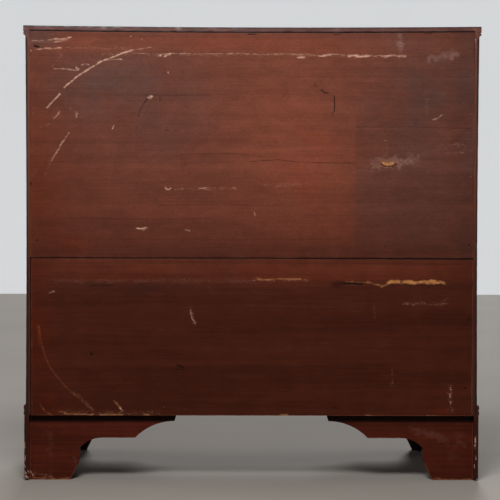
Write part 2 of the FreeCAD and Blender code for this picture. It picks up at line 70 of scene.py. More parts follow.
sideLow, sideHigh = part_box("case_side_right")
sideThickness = 19.5 * mm
halfCase = sideHigh.x
halfInside = halfCase - sideThickness
frontY = sideLow.y
backY = sideHigh.y
caseBottomZ = sideLow.z
topZ = cadBounds[1].z
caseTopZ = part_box("top_board")[0].z
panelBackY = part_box("back_board_upper")[0].y
slotOf = {part["node"]: part["material_slot"] for part in frame["record"]["subparts"]}
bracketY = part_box("foot_rear_left_back")[1].y
bodies = frame["record"]["behaviour"]["bodies"]
bodyOf = {node: body for body, members in bodies.items() for node in members}
drawers = (1, 2, 3, 4)
# Painted shade: the wood is coloured darker near the floor, where less light falls
paintedShadeBelow, paintedShadeEndsAbove = 360 * mm, 680 * mm  # the wood turns from dark to light between these heights


def paint(red, green, blue):
    # A colour as the eye reads it, 0 to 255, turned into the linear values that the shaders take
    def linear(c):
        c = c / 255
        return c / 12.92 if c <= 0.04045 else ((c + 0.055) / 1.055) ** 2.4

    return (linear(red), linear(green), linear(blue), 1.0)


def feed(tree, socket, value):
    if isinstance(value, bpy.types.NodeSocket):
        tree.links.new(value, socket)
    elif value is not None:
        socket.default_value = value


def addNode(tree, kind, inputs=(), **settings):
    # Makes a node of a shader or of Geometry Nodes and gives back its outputs
    made = tree.nodes.new(kind)
    for key, value in settings.items():
        setattr(made, key, value)
    for key, value in dict(inputs).items():
        feed(tree, made.inputs[key], value)
    return made.outputs


def addObject(name, data):
    made = bpy.data.objects.new(name, data)
    bpy.context.scene.collection.objects.link(made)
    return made


# Short calls for the nodes of one material

class Shade:
    def __init__(self, name, specular=0.5, coat=0.0, metallic=0.0):
        self.material = bpy.data.materials.new(name)
        self.material.use_nodes = True
        self.tree = self.material.node_tree
        self.surface = self.tree.nodes["Principled BSDF"].inputs
        given = {"Specular IOR Level": specular, "Coat Weight": coat, "Metallic": metallic}
        for key, value in {**given, "Coat Roughness": 0.2}.items():
            self.surface[key].default_value = value
        self.place = self.add("ShaderNodeTexCoord")["Object"]
        self.x, self.y, self.z = self.add("ShaderNodeSeparateXYZ", {0: self.place})

    def add(self, kind, inputs=(), **settings):
        return addNode(self.tree, kind, inputs, **settings)

    def math(self, operation, a, b=None, clamp=False):
        return self.add("ShaderNodeMath", {0: a, 1: b}, operation=operation, use_clamp=clamp)[0]

    def plus(self, a, b, clamp=False):
        return self.math("ADD", a, b, clamp)

    def times(self, a, b, clamp=False):
        return self.math("MULTIPLY", a, b, clamp)

    def sway(self, value, amount):
        # Swings around 0 what swings around a half
        return self.times(self.math("SUBTRACT", value, 0.5), amount)

    def blend(self, a, b, share):
        return self.plus(self.times(a, share), self.times(b, 1 - share))

    def vector(self, operation, a, b=None, scale=None):
        made = self.add("ShaderNodeVectorMath", {0: a, 1: b, 3: scale}, operation=operation)
        return made["Value" if operation == "LENGTH" else "Vector"]

    def fade(self, value, low, high, start=0.0, end=1.0):
        # Smooth step from start at low to end at high
        inputs = {"Value": value, "From Min": low, "From Max": high, "To Min": start, "To Max": end}
        return self.add("ShaderNodeMapRange", inputs, interpolation_type="SMOOTHSTEP")[0]

    def mix(self, share, a, b, kind="MIX"):
        return self.add("ShaderNodeMix", {0: share, 6: a, 7: b}, data_type="RGBA", blend_type=kind)[2]

    def stops(self, colour, amount):
        # A colour made lighter or darker by this many doublings
        return self.vector("SCALE", colour, scale=self.math("POWER", 2.0, amount))

    def noise(self, scale, detail=3.0, roughness=0.55, distortion=0.0, shift=None):
        # The scale is one number, or three for noise that is squeezed along the axes
        place = self.vector("ADD", self.place, shift) if shift else self.place
        if isinstance(scale, tuple):
            place, scale = self.vector("MULTIPLY", place, scale), 1.0
        inputs = {"Vector": place, "Scale": scale, "Detail": detail, "Roughness": roughness,
                  "Distortion": distortion}
        return self.add("ShaderNodeTexNoise", inputs)[0]

    def field(self, name):
        return self.add("ShaderNodeAttribute", attribute_name=name)["Fac"]

    def bump(self, height, depth):
        # height is 0 to 1, and depth is what 1 stands for
        made = self.add("ShaderNodeBump", {"Height": height, "Distance": depth, "Strength": 1.0})
        feed(self.tree, self.surface["Normal"], made[0])

    def finish(self, colour, roughness):
        feed(self.tree, self.surface["Base Color"], colour)
        feed(self.tree, self.surface["Roughness"], roughness)
        return self.material


# Worn copies of the sawn pieces: eased edges, nicks, and fields that say how near an edge or a corner is

easing = {
    "mergeWithin": 0.01 * mm,
    "flatWithin": math.radians(0.6),
    "sharpFrom": math.radians(27),
    "shortestEdge": 7 * mm,
    "fieldReach": 12 * mm,  # how far the fields run from an edge
    "grid": 160 * mm,
    "edgeStep": 14 * mm,
    "nickSize": 14 * mm,
    "nickRise": 1.6,
    "nickReach": 2.2,  # from the edge, in widths of the easing
    "mostPasses": 60,
    "faceStep": 12 * mm,  # triangles over a drawer's face
    "faceFinest": 9 * mm,
}
smoothTo = {"wood": math.radians(40), "metal": math.radians(35)}  # faces that meet more flatly shade as one


def splitLong(points, triangles, finest, wanted):
    # Halves the longest edge of each triangle while it is longer than wanted(middles, normals) allows
    for _ in range(easing["mostPasses"]):
        corners = points[triangles]
        lengths = np.linalg.norm(np.roll(corners, -1, axis=1) - corners, axis=2)
        order = (np.arange(3)[None, :] + np.argmax(lengths, axis=1)[:, None]) % 3
        triangles = np.take_along_axis(triangles, order, axis=1)
        longest = lengths.max(axis=1)
        still = np.nonzero(longest > finest)[0]
        if not len(still):
            break
        corners = points[triangles[still]]
        normals = np.cross(corners[:, 1] - corners[:, 0], corners[:, 2] - corners[:, 0])
        normals /= np.maximum(np.linalg.norm(normals, axis=1), 1e-12)[:, None]
        asked = still[longest[still] > wanted(corners.mean(axis=1), normals)]
        if not len(asked):
            break
        ends = np.sort(np.stack([triangles, np.roll(triangles, -1, axis=1)], axis=2), axis=2)
        keys = ends[:, :, 0].astype(np.int64) * len(points) + ends[:, :, 1]
        unique, inverse = np.unique(keys.ravel(), return_inverse=True)
        inverse = inverse.reshape(keys.shape)
        cut = np.zeros(len(unique), bool)
        cut[inverse[asked, 0]] = True
        # Where any edge is cut, the longest is cut too, which keeps the triangles from turning thin
        count = 0
        while count != cut.sum():
            count = cut.sum()
            cut[inverse[cut[inverse].any(axis=1), 0]] = True
        middleOf = np.full(len(unique), -1, np.int64)
        middleOf[cut] = len(points) + np.arange(count)
        first, second = unique[cut] // len(points), unique[cut] % len(points)
        points = np.vstack([points, (points[first] + points[second]) / 2])
        # Places 0 to 2 are a triangle's corners, and 3 to 5 the middles of the edges that follow them
        pool = np.hstack([triangles, middleOf[inverse]])
        long, right, left = (middleOf[inverse] >= 0).T
        splits = (
            (~long, (0, 1, 2)),
            (long & ~right & ~left, (0, 3, 2)),
            (long & ~right & ~left, (3, 1, 2)),
            (right, (3, 1, 4)),
            (right, (3, 4, 2)),
            (left, (0, 3, 5)),
            (left, (5, 3, 2)),
            (left & ~right, (3, 1, 2)),
            (right & ~left, (0, 3, 2)),
        )
        triangles = np.vstack([pool[picked][:, places] for picked, places in splits])
    return points, triangles


def gapsTo(places, lines, reach):
    # Distance from each place to the nearest line, no more than the reach
    gaps = np.full(len(places), float(reach))
    for a, b in lines:
        low, high = np.minimum(a, b) - reach, np.maximum(a, b) + reach
        close = np.nonzero(((places > low) & (places < high)).all(axis=1))[0]
        run = b - a
        out = places[close] - a
        share = np.clip(out @ run / (run @ run), 0, 1)
        gaps[close] = np.minimum(gaps[close], np.linalg.norm(out - share[:, None] * run, axis=1))
    return gaps


def nearness(points, lines, reach=easing["fieldReach"]):
    # 1 on a line, falling evenly to 0 at the reach
    return 1 - gapsTo(points, lines, reach) / reach


def pointNormals(points, triangles):
    corners = points[triangles]
    normals = np.cross(corners[:, 1] - corners[:, 0], corners[:, 2] - corners[:, 0])
    result = np.zeros(points.shape)
    for i in range(3):
        np.add.at(result, triangles[:, i], normals)
    return result / np.maximum(np.linalg.norm(result, axis=1), 1e-15)[:, None]


def shadeSmooth(mesh, kind):
    mesh.shade_smooth()
    mesh.set_sharp_from_angle(angle=smoothTo[kind])


def meshPiece(name, points, triangles, fields):
    mesh = bpy.data.meshes.new(name)
    mesh.from_pydata(points.tolist(), [], triangles.tolist())
    for key, values in fields.items():
        mesh.attributes.new(key, "FLOAT", "POINT").data.foreach_set("value", values.astype(np.float32))
    shadeSmooth(mesh, "wood")
    return addObject(name, mesh)


def dress(piece, body, material, slot, *replaced):
    # Material and body of one finished piece
    piece.data.materials.clear()
    piece.data.materials.append(material)
    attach(piece, body)
    if replaced:
        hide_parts(*replaced)


def slicePlanes(low, high):
    # Cuts across one axis of a long piece: at the fields' reach from both ends, and a grid between them
    start = low + easing["fieldReach"]
    run = high - easing["fieldReach"] - start
    if run < easing["grid"] / 2:
        return []
    steps = max(1, round(run / easing["grid"]))
    return [start + run * i / steps for i in range(steps + 1)]


def wornCopy(node, name, ease=0.7 * mm, nick=0.5 * mm, finest=easing["edgeStep"], wanted=None, shape=None):
    # The piece of a CAD node with eased edges. wanted(middles, normals) asks for finer triangles,
    # down to finest, and shape(points, normals) moves the points and may give fields
    bm = bmesh.new()
    bm.from_mesh(nodes[node].data)
    bmesh.ops.remove_doubles(bm, verts=bm.verts, dist=easing["mergeWithin"])
    bmesh.ops.dissolve_limit(
        bm, angle_limit=easing["flatWithin"], use_dissolve_boundaries=False, verts=bm.verts, edges=bm.edges
    )
    lines = {True: [], False: []}
    for e in bm.edges:
        e.seam = False
        sharp = e.is_manifold and e.calc_face_angle(0) > easing["sharpFrom"]
        if sharp and e.calc_length() > easing["shortestEdge"]:
            e.seam = e.is_convex
            lines[e.is_convex].append([np.array(v.co) for v in e.verts])
    low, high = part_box(node)
    for axis in range(3):
        normal = Vector((0, 0, 0))
        normal[axis] = 1
        for place in slicePlanes(low[axis], high[axis]):
            everything = bm.verts[:] + bm.edges[:] + bm.faces[:]
            bmesh.ops.bisect_plane(bm, geom=everything, plane_co=normal * place, plane_no=normal, dist=1e-6)
    outer = [e for e in bm.edges if e.seam]
    bmesh.ops.bevel(bm, geom=outer, offset=ease, segments=2, profile=0.5, affect="EDGES", clamp_overlap=True)
    bmesh.ops.triangulate(bm, faces=bm.faces)
    bm.verts.index_update()
    points = np.array([v.co for v in bm.verts])
    triangles = np.array([[v.index for v in f.verts] for f in bm.faces])
    bm.free()

    def limits(middles, normals):
        close = nearness(middles, lines[True], 0.5 * easing["fieldReach"]) > 0
        result = np.where(close, easing["edgeStep"], easing["grid"])
        return np.minimum(result, wanted(middles, normals)) if wanted else result

    points, triangles = splitLong(points, triangles, finest, limits)
    nearEdge = nearness(points, lines[True])
    nearCorner = nearness(points, lines[False])
    normals = pointNormals(points, triangles)
    close = nearEdge > 1 - easing["nickReach"] * ease / easing["fieldReach"]
    for i in np.nonzero(close)[0]:
        place = Vector(points[i])
        bite = noise.noise(place / easing["nickSize"]) + 0.5 * noise.noise(place * 3 / easing["nickSize"])
        points[i] -= normals[i] * nick * min(1.0, max(0.0, bite * easing["nickRise"]))
    fields = {"nearEdge": nearEdge, "nearCorner": nearCorner}
    if shape:
        points, more = shape(points, normals)
        fields.update(more)
    return meshPiece(name, points, triangles, fields)


# Wood: a stained and rubbed surface, with raw wood where the stain never reached, and painted shade that
# darkens it towards the floor

woodLook = {
    "base": paint(124, 65, 50),
    "deep": paint(104, 51, 38),
    # Painted shade: the base and deep colours darkened near the floor
    "shadedLowBase": paint(90, 42, 29),  # the same two near the floor
    "shadedLowDeep": paint(72, 31, 21),
    "rubbed": paint(140, 84, 60),
    "bare": paint(172, 124, 88),
    # Dark colour for the inner corners, and for the painted shade in the feet's recess, under the top's
    # overhang and inside the front feet
    "darkening": paint(24, 12, 10),
    "streakLength": 1.1,  # grain noise along the board, per metre
    "streakAcross": 46.0,
    "fineLength": 7.0,
    "fineAcross": 420.0,
    "streakFrom": 0.38,
    "streakTo": 0.6,
    "mottleScale": 17.0,
    "mottle": 0.16,  # how far the mottle lightens and darkens, in stops
    "roughness": 0.5,
    "roughSwing": 0.16,
    "edgeWear": 1.6 * mm,  # how far rubbing reaches in from an edge
    "edgeRagged": 2.6,
    "rubbedBand": (1.4, 0.2),  # where a mask begins and is full, in reaches from the edge
    "bareBand": (0.5, -0.1),
    "edgeRub": 0.3,
    "edgeBare": 0.08,
    "cornerFrom": 0.72,  # where darkening begins in the nearCorner field, and the most of it
    "cornerDarkening": 0.8,
    "grainDepth": 0.16 * mm,
}
rawLook = {
    "base": paint(168, 126, 84),
    "deep": paint(134, 94, 58),
    "shadedLowBase": paint(168, 126, 84),
    "shadedLowDeep": paint(134, 94, 58),
    "rubbed": paint(190, 152, 108),
    "bare": paint(205, 172, 130),
    "darkening": paint(64, 42, 28),
    "roughness": 0.72,
    "edgeRub": 0.35,
    "edgeBare": 0.2,
}


def grainScale(grain, along, across):
    # Noise squeezed across the grain runs out in long streaks
    return tuple(along if axis == grain else across for axis in "xyz")


def woodColour(s, look, grain, shift):
    # Colour of one kind of wood, its streaks and its mottle between 0 and 1
    broad = s.noise(grainScale(grain, look["streakLength"], look["streakAcross"]), 4.0, 0.62, 0.4, shift)
    fine = s.noise(grainScale(grain, look["fineLength"], look["fineAcross"]), 3.0, 0.6, 0.0, shift)
    mottle = s.noise(look["mottleScale"], 5.0, 0.62, 0.4, shift)
    streaks = s.blend(broad, fine, 0.6)
    share = s.fade(streaks, look["streakFrom"], look["streakTo"])
    # Painted shade: the colour darkens towards the floor
    height = s.fade(s.z, paintedShadeBelow, paintedShadeEndsAbove)
    low = s.mix(share, look["shadedLowDeep"], look["shadedLowBase"])
    colour = s.mix(height, low, s.mix(share, look["deep"], look["base"]))
    return s.stops(colour, s.sway(mottle, look["mottle"] * 4)), streaks, mottle


def edgeMasks(s, look, mottle):
    # Masks of rubbed and bare wood along the edges, and of darkening in the inner corners
    reach = look["edgeWear"] / easing["fieldReach"]
    ragged = s.plus(s.field("nearEdge"), s.sway(mottle, reach * look["edgeRagged"]))
    masks = []
    for (low, high), most in ((look["rubbedBand"], look["edgeRub"]), (look["bareBand"], look["edgeBare"])):
        masks.append(s.fade(ragged, 1 - reach * low, 1 - reach * high, 0.0, most))
    return *masks, s.fade(s.field("nearCorner"), look["cornerFrom"], 1.0, 0.0, look["cornerDarkening"])


def woodMaterial(name, look=None, grain="x", shift=(0, 0, 0), rawWhere=None, marks=None, specular=0.4,
                 coat=0.0):
    # rawWhere(s) gives a mask of raw wood, and marks(s, colour) paints over the stain
    s = Shade(name, specular=specular, coat=coat)
    look = {**woodLook, **(look or {})}
    colour, streaks, mottle = woodColour(s, look, grain, shift)
    rubbed, bare, darkening = edgeMasks(s, look, mottle)
    colour = s.mix(rubbed, colour, look["rubbed"])
    colour = s.mix(bare, colour, look["bare"])
    roughness = s.plus(look["roughness"] - look["roughSwing"] / 2, s.times(mottle, look["roughSwing"]))
    if marks:
        colour = marks(s, colour)
    if rawWhere:
        raw = {**woodLook, **rawLook}
        where = rawWhere(s)
        colour = s.mix(where, colour, woodColour(s, raw, grain, shift)[0])
        roughness = s.math("MAXIMUM", roughness, s.times(where, raw["roughness"]))
    colour = s.mix(darkening, colour, look["darkening"])
    s.bump(streaks, look["grainDepth"])
    return s.finish(colour, roughness)


# Marks on the back, by kind: width, strength and depth, then the path as x and height, all in mm

upperMarks = {
    "dark": [
        # The first row is painted shadow: the black line under the top's overhang
        (3.2, 1, 0.3, (471.3, 951.4), (0.6, 951.4), (-470, 951.4)),
        (2.8, 0.8, 0.2, (469.2, 473.6), (0.6, 473.6), (-470, 473.6)),
        (3.4, 0.8, 0.3, (9.1, 947), (-7.8, 947.4)),
        (5, 1, 1.5, (458.5, 918.2), (450.5, 916.4)),
        (3.2, 0.6, 0.3, (-171.1, 946.6), (-185.9, 947)),
        (3.2, 0.6, 0.3, (-364, 947.4), (-376.7, 947.9)),
        (2.8, 0.9, 0.3, (222, 807.5), (228.5, 798.8)),
        (3.2, 0.45, 0.3, (228.5, 798.8), (236, 785), (240.2, 770.2)),
        (2.5, 0.8, 0.3, (195, 812.2), (194.6, 805.4)),
        (2.5, 1, 0.6, (-173, 814.7), (-173.4, 797.8), (-172.8, 780.8)),
        (2.5, 0.5, 0.3, (-168.1, 780.8), (-169, 774.4)),
        (3.8, 0.8, 0.4, (-144.8, 827.9), (-152, 822.3), (-159.6, 820.7)),
        (2.5, 0.6, 0.3, (-130.8, 840.2), (-137.2, 835.1)),
        (2.8, 0.8, 0.4, (-272.8, 671.4), (-280.5, 668), (-296.2, 668.4), (-303.4, 673.1)),
        (2.5, 0.5, 0.2, (183, 742.6), (178.7, 742.6)),
        (2.5, 0.5, 0.2, (163.9, 742.6), (157.5, 742.6)),
        (2.3, 0.5, 0.15, (4.9, 676.3), (-54.5, 681.2), (-101.1, 675.6), (-217.7, 673.9)),
        (2.1, 0.35, 0.1, (153.3, 691.8), (47.3, 693.9), (-20.6, 687.5)),
        (2.3, 0.35, 0.15, (-217.7, 750.3), (-334.3, 751.1), (-461.5, 747.3)),
        (1.9, 0.28, 0.1, (418.3, 674.8), (280.5, 676.1), (47.3, 674.8)),
        (2.1, 0.28, 0.1, (216.9, 583.6), (68.5, 585.8), (-101.1, 583.2)),
        (2.1, 0.25, 0.1, (407.7, 556.1), (259.3, 554), (79.1, 556.1)),
        (1.9, 0.3, 0.1, (314.4, 816.8), (238.1, 816), (89.7, 816.8)),
        (2.1, 0.25, 0.1, (407.7, 513.7), (195.7, 511.6), (-185.9, 512.8)),
    ],
    "pale": [
        (2.9, 1, 0.15, (397.1, 831.7), (372.7, 852.9), (342, 872.8), (315.2, 888.1), (284.7, 899.9),
         (255, 910.1)),
        (2, 0.6, 0.1, (255, 910.1), (238.1, 913.9), (213.7, 917.7)),
        (2.9, 0.8, 0.2, (405.6, 819), (431, 789.3)),
        (2.2, 0.8, 0.15, (405.6, 780.8), (418.3, 766)),
        (2.6, 0.6, 0.1, (386.5, 736.3), (407.7, 704.5), (423.4, 679)),
        (2.4, 0.75, 0.1, (471.3, 908), (454.3, 911), (433.1, 913.5), (403.4, 914.4)),
        (1.8, 0.45, 0, (463.9, 930.3), (420.4, 932.6)),
        (2.6, 0.85, 0.1, (420.4, 935.1), (401.3, 934.3), (382.2, 937.5)),
        (2, 0.6, 0, (418.3, 927.5), (401.3, 930.9), (388.6, 933)),
        (1.8, 0.8, 0.1, (418.3, 871.1), (397.1, 870.3), (372.7, 867.7)),
        (2.6, 0.95, 0.2, (371.6, 873.2), (368.5, 868.6), (365.7, 871.5)),
        (2.2, 0.6, 0.2, (361, 877.9), (352.6, 880.4), (345.1, 880)),
        (1.8, 0.6, 0, (305.9, 889.8), (278.4, 891.5)),
        (3.2, 0.8, 0.2, (277.9, 891.5), (275, 891)),
        (3.8, 0.8, 0.1, (199.9, 899.1), (193.6, 900.8)),
        (4.1, 0.85, 0.1, (185.1, 898.7), (173.4, 902.1)),
        (1.7, 0.5, 0, (250.8, 904.6), (204.2, 903.3), (153.3, 903.8), (79.1, 903.3)),
        (1.4, 0.5, 0.1, (79.1, 903.3), (26.1, 903.8), (-20.6, 902.9), (-101.1, 903.3), (-196.5, 902.5),
         (-321.6, 901.6)),
        (3.8, 0.7, 0.1, (-94.8, 896.5), (-107.5, 897)),
        (3.2, 0.75, 0, (-128.7, 900.8), (-164.7, 901.2)),
        (3.9, 0.95, 0.2, (-196.5, 899.1), (-215.6, 900.8), (-230.4, 899.1), (-247.4, 900.4)),
        (3.4, 0.7, 0, (-270.7, 900.4), (-321.6, 899.7)),
        (4.1, 1, 0.5, (220.3, 810.9), (215.6, 813.9), (211.4, 813.4)),
        (3.4, 0.9, 0.4, (216.9, 809.2), (212.6, 810.5)),
        (2.6, 0.95, 0.3, (292.6, 752.4), (294.9, 745.6)),
        (2, 0.7, 0.2, (383.5, 791.4), (382.7, 785.9)),
        (2.2, 0.7, 0.2, (368.7, 777.4), (369.5, 768.9)),
        (2.7, 0.7, 0, (256.7, 941.9), (255, 941.9)),
        (2.4, 0.6, 0, (234.3, 935.6), (232.6, 935.6)),
        (2.2, 0.7, 0.2, (177.4, 864.7), (177, 861.8)),
        (1.8, 0.55, 0, (-378.8, 764.3), (-389.4, 768.5), (-402.2, 777.8)),
        (2.9, 0.85, 0.2, (183, 621.8), (177.9, 618), (172.4, 620.9)),
        (1.7, 0.5, 0, (49.4, 620.1), (34.6, 619.7)),
        (1.7, 0.5, 0, (113, 619.7), (96, 620.5)),
        (2.6, 0.9, 0.2, (242.3, 536.6), (233.8, 535.3), (222, 537)),
        (2.4, 0.8, 0.2, (232.6, 532.8), (227.5, 532.3)),
        (2.6, 0.75, 0.2, (139.7, 532.8), (131.2, 531.9)),
        (2, 0.75, 0.2, (-4.5, 570.1), (-6.1, 563.3)),
    ],
    "tan": [
        (5.5, 0.5, 0, (437.4, 913.1), (403.4, 913.9)),
    ],
    "gold": [
        (7.2, 1, 0.5, (-277.5, 673.9), (-287.7, 672.9), (-298.3, 674.6)),
    ],
    "smear": [
        (3.8, 0.5, 0, (423.4, 679), (437.4, 647.2)),
        (4.2, 0.7, 0, (418.3, 757.5), (450.1, 746.9)),
        (5.5, 0.8, 0, (433.1, 913.9), (318.6, 915.2), (255, 913.3)),
        (7.4, 0.5, 0, (464.9, 925.8), (418.3, 929.6), (386.5, 933.4)),
        (4.7, 0.4, 0, (428.9, 942.8), (395, 948.3)),
        (4.7, 0.8, 0, (420.4, 876.2), (399.2, 903.8)),
        (5.9, 0.7, 0, (314.4, 901.6), (248.7, 903.8), (195.7, 900.8)),
        (6.8, 0.9, 0, (153.3, 902.1), (26.1, 902.1), (-101.1, 901.6), (-321.6, 900.4)),
        (12.7, 0.35, 0, (-386.7, 906.1), (-423.4, 897.3)),
        (8.5, 0.6, 0, (-308.9, 948.3), (-313.1, 908)),
        (10.6, 0.9, 0.1, (-255.9, 667.4), (-270.7, 674.8), (-287.7, 678)),
        (9.5, 0.8, 0.1, (-277.1, 682.4), (-304.6, 680.3), (-349.2, 682.4)),
        (10.6, 1, 0.1, (-291.9, 673.9), (-321.6, 676.9)),
        (7.4, 0.9, 0.1, (-270.7, 666.3), (-296.2, 665), (-317.4, 671)),
        (4.7, 0.8, 0, (-280.5, 723.6), (-283.4, 704.5), (-284.3, 689.6)),
        (5.1, 0.9, 0.1, (-423.4, 713.8), (-448.8, 714.2)),
        (5.1, 0.8, 0.1, (-410.6, 696.6), (-444.6, 697.5)),
        (14.8, 0.4, 0, (-397.9, 708.7), (-461.5, 706.6)),
        (4.7, 0.6, 0, (-368.2, 810.5), (-368.2, 780.8)),
        (8.5, 0.8, 0, (161.8, 619.7), (34.6, 619.7)),
        (7.2, 0.85, 0, (-29, 627.3), (-101.1, 627.7)),
        (3, 0.6, 0, (407.7, 563.3), (401.3, 551.8)),
    ],
    "veil": [
        (17.1, 0.7, 0, (-374, 896.3), (-397.9, 899.6), (-424.7, 902.1)),
        (13.8, 0.9, 0, (-311, 946.2), (-311.9, 905.9)),
        (25.4, 0.75, 0, (-258, 672.7), (-291.9, 678), (-342.8, 681.2)),
    ],
}
lowerMarks = {
    "dark": [
        (3.2, 0.95, 0.2, (464.9, 472.5), (0.6, 472.5), (-470, 471.7)),
        (3, 0.45, 0.1, (344.1, 414), (291.1, 414.9)),
        (6.8, 0.9, 0.3, (-194.4, 421.2), (-232.6, 419.1)),
        (3, 0.8, 0.3, (-397.9, 420.8), (-405.1, 418.3)),
        (3, 0.6, 0.3, (-287.7, 416.2), (-344.9, 416.2), (-408.5, 416.2)),
        (4.7, 0.9, 0.3, (339.4, 270.7), (338.1, 267.8)),
        (4.7, 0.8, 0.3, (157.5, 246.6), (144.8, 241)),
        (2.5, 0.6, 0.2, (161.8, 236.8), (140.6, 236)),
        (4.7, 0.6, 0.3, (-175.7, 156.7), (-179.6, 154.5)),
        (2.1, 0.25, 0.1, (386.5, 318.6), (153.3, 316.5), (-16.3, 318.6)),
        (2.1, 0.25, 0.1, (47.3, 229.6), (-164.7, 231.7), (-419.1, 228.5)),
        (2.1, 0.3, 0.1, (407.7, 461.5), (26.1, 462.8), (-440.3, 460.7)),
    ],
    "pale": [
        (2, 0.4, 0, (428.9, 397.5), (416.2, 401.3)),
        (2.2, 0.5, 0.1, (129.5, 363.2), (126.6, 346.2), (119.4, 333.5)),
        (3, 0.9, 0.2, (279.6, 155), (276.7, 151.6)),
        (3.2, 0.5, 0.2, (185.9, 157.5), (184.2, 157.5)),
        (2, 0.8, 0.2, (-421.2, 198.6), (-421.7, 194.4)),
        (2, 0.7, 0.2, (-420, 184.2), (-420.8, 178.7)),
        (2, 0.9, 0.2, (-422.5, 169.4), (-422.5, 163)),
    ],
    "tan": [
        (3.4, 0.85, 0, (-12.1, 427.2), (-48.1, 428.9), (-113.8, 428.5)),
        (3.2, 0.75, 0, (-198.6, 423.8), (-232.6, 422.1), (-251.6, 421.2), (-277.1, 413.2)),
        (4.2, 0.7, 0, (-275, 412.3), (-283.4, 417)),
        (7.2, 0.7, 0, (-287.7, 422.1), (-344.9, 421.2), (-406.4, 421.7)),
        (3, 0.6, 0.1, (291.1, 170.2), (280.5, 157.5), (272.8, 149)),
        (3.2, 0.8, 0.5, (395, 142.3), (335.6, 141.4)),
        (3.4, 0.9, 0.6, (320.8, 141.4), (272, 140.6)),
        (3.8, 0.9, 0.6, (227.5, 141.4), (216.9, 141)),
        (3.4, 0.8, 0.5, (-58.7, 141), (-75.7, 140.6)),
        (3.4, 0.7, 0.5, (-243.2, 139.3), (-260.1, 138.9)),
        (3.6, 0.9, 0.6, (-372.5, 138), (-412.8, 137.6)),
    ],
    "warm": [
        (2.7, 0.45, 0, (450.1, 329.2), (445.8, 297.4), (437.4, 265.6), (426.8, 242.3), (407.7, 214.8)),
        (2.8, 0.34, 0, (407.7, 214.8), (380.1, 187.2), (354.7, 166), (331.4, 146.9)),
        (3, 0.3, 0, (452.2, 327.1), (448, 286.8)),
        (3, 0.45, 0, (448, 161.8), (437.4, 146.9), (420.4, 138.4)),
    ],
    "gold": [
        (6.4, 0.85, 0.2, (-289.8, 423.8), (-313.1, 425.1), (-338.6, 422.5), (-364, 424.2), (-389.4, 423.8),
         (-403.4, 420.4)),
    ],
    "smear": [
        (5.8, 0.3, 0, (414, 425.5), (280.5, 425.9), (0.6, 426.8)),
        (6.4, 0.8, 0, (-5.7, 426.8), (-120.2, 427.6)),
        (5.9, 0.8, 0, (-313.1, 377.1), (-359.8, 377.6), (-410.6, 378.4)),
        (5.5, 0.7, 0, (-397.9, 372.9), (-410.6, 386.5)),
        (6.4, 0.5, 0, (-258, 369.5), (-260.1, 346.2)),
        (5.1, 0.5, 0, (-296.2, 238.1), (-298.3, 204.2)),
        (6.4, 0.7, 0, (129.5, 365.3), (121.5, 333.5)),
        (6.4, 0.8, 0, (373.8, 187.2), (352.6, 168.1), (335.6, 146.9)),
        (10.6, 0.7, 0, (-419.1, 204.2), (-423.4, 149)),
        (8.5, 0.6, 0, (407.7, 145.6), (195.7, 143.5)),
    ],
    "veil": [
        (6.2, 0.15, 0, (414, 421.7), (280.5, 422.5), (132.1, 422.5), (0.6, 424.2)),
    ],
}
leftFootMarks = {
    "pale": [
        (2.6, 0.8, 0.6, (474.2, 21.8), (469.2, 14.2), (463.6, 7)),
        (3.2, 0.9, 0.5, (481, 20.6), (477.6, 15.5)),
        (2, 0.7, 0.4, (481.5, 83.3), (480.6, 70.6)),
        (2.2, 0.8, 0.4, (479.8, 53.6), (480.6, 40.9)),
        (2.2, 0.8, 0.4, (481.5, 34.6), (478.9, 28.2)),
        (2.7, 0.9, 0.4, (479.3, 10), (472.1, 6.1)),
    ],
    "tan": [
        (2.6, 0.45, 0.6, (462.8, 3.6), (437.4, 3.2), (386.5, 2.8)),
    ],
    "smear": [
        (10.6, 0.7, 0, (464.9, 13.4), (428.9, 7)),
    ],
    "veil": [
        (5, 0.25, 0.2, (375.9, 47.3), (371.6, 26.1), (378.8, 9.1)),
        (14, 0.12, 0, (424.6, 21.8), (430, 95.4)),
    ],
}
rightFootMarks = {
    "pale": [
        (2.6, 0.95, 0.5, (-475.1, 93.9), (-475.5, 83.3)),
        (2.4, 0.9, 0.5, (-474.7, 78.2), (-475.3, 68.5)),
        (2.4, 0.9, 0.4, (-473, 35.4), (-473.4, 28.2)),
        (2, 0.7, 0.4, (-475.9, 53.6), (-476.2, 46)),
    ],
    "tan": [
        (2.6, 0.4, 0.6, (-385.2, 2.8), (-419.1, 1.9), (-470, 1.5)),
    ],
    "veil": [
        (17, 0.22, 0, (-346.1, 106.6), (-397.9, 91.8), (-455.7, 74.8)),
        (24, 0.12, 0, (-429.7, 53.6), (-437.3, 91.8)),
    ],
}
# Soft regions of the boards: x, height, reach along x and up in mm, then how much lighter in stops,
# redder and greyer; the greyer patches at x 190 to 330 and height 790 to 840 are a painted sheen
upperPatches = [
    (452, 700, 60, 330, -0.22, 0.55, 0),
    (0, 950, 600, 60, -0.12, 0, 0),
    # Painted sheen: greyer here, and at x 190 and 300
    (330, 840, 110, 60, -0.1, 0, 0.55),
    (190, 800, 100, 110, -0.12, 0, 0.3),
    (-95, 690, 130, 180, 0.34, 0.2, 0),
    (450, 940, 40, 30, -0.2, -0.4, 0.6),
    (-340, 720, 130, 260, -0.16, 0, 0.25),
    (-460, 700, 40, 300, -0.32, 0, 0.25),
    (-455, 925, 60, 40, -0.25, 0, 0.2),
    (300, 790, 180, 130, -0.1, -0.15, 0.1),
    (-390, 840, 120, 60, -0.2, 0, 0.45),
    (-330, 930, 140, 20, -0.06, 0, 0.35),
    (450, 560, 60, 150, -0.16, 0.2, 0),
    (350, 620, 90, 100, -0.14, 0.1, 0),
    (0, 930, 600, 22, 0.1, 0.2, 0),
    (200, 520, 300, 30, -0.08, 0, 0),
]
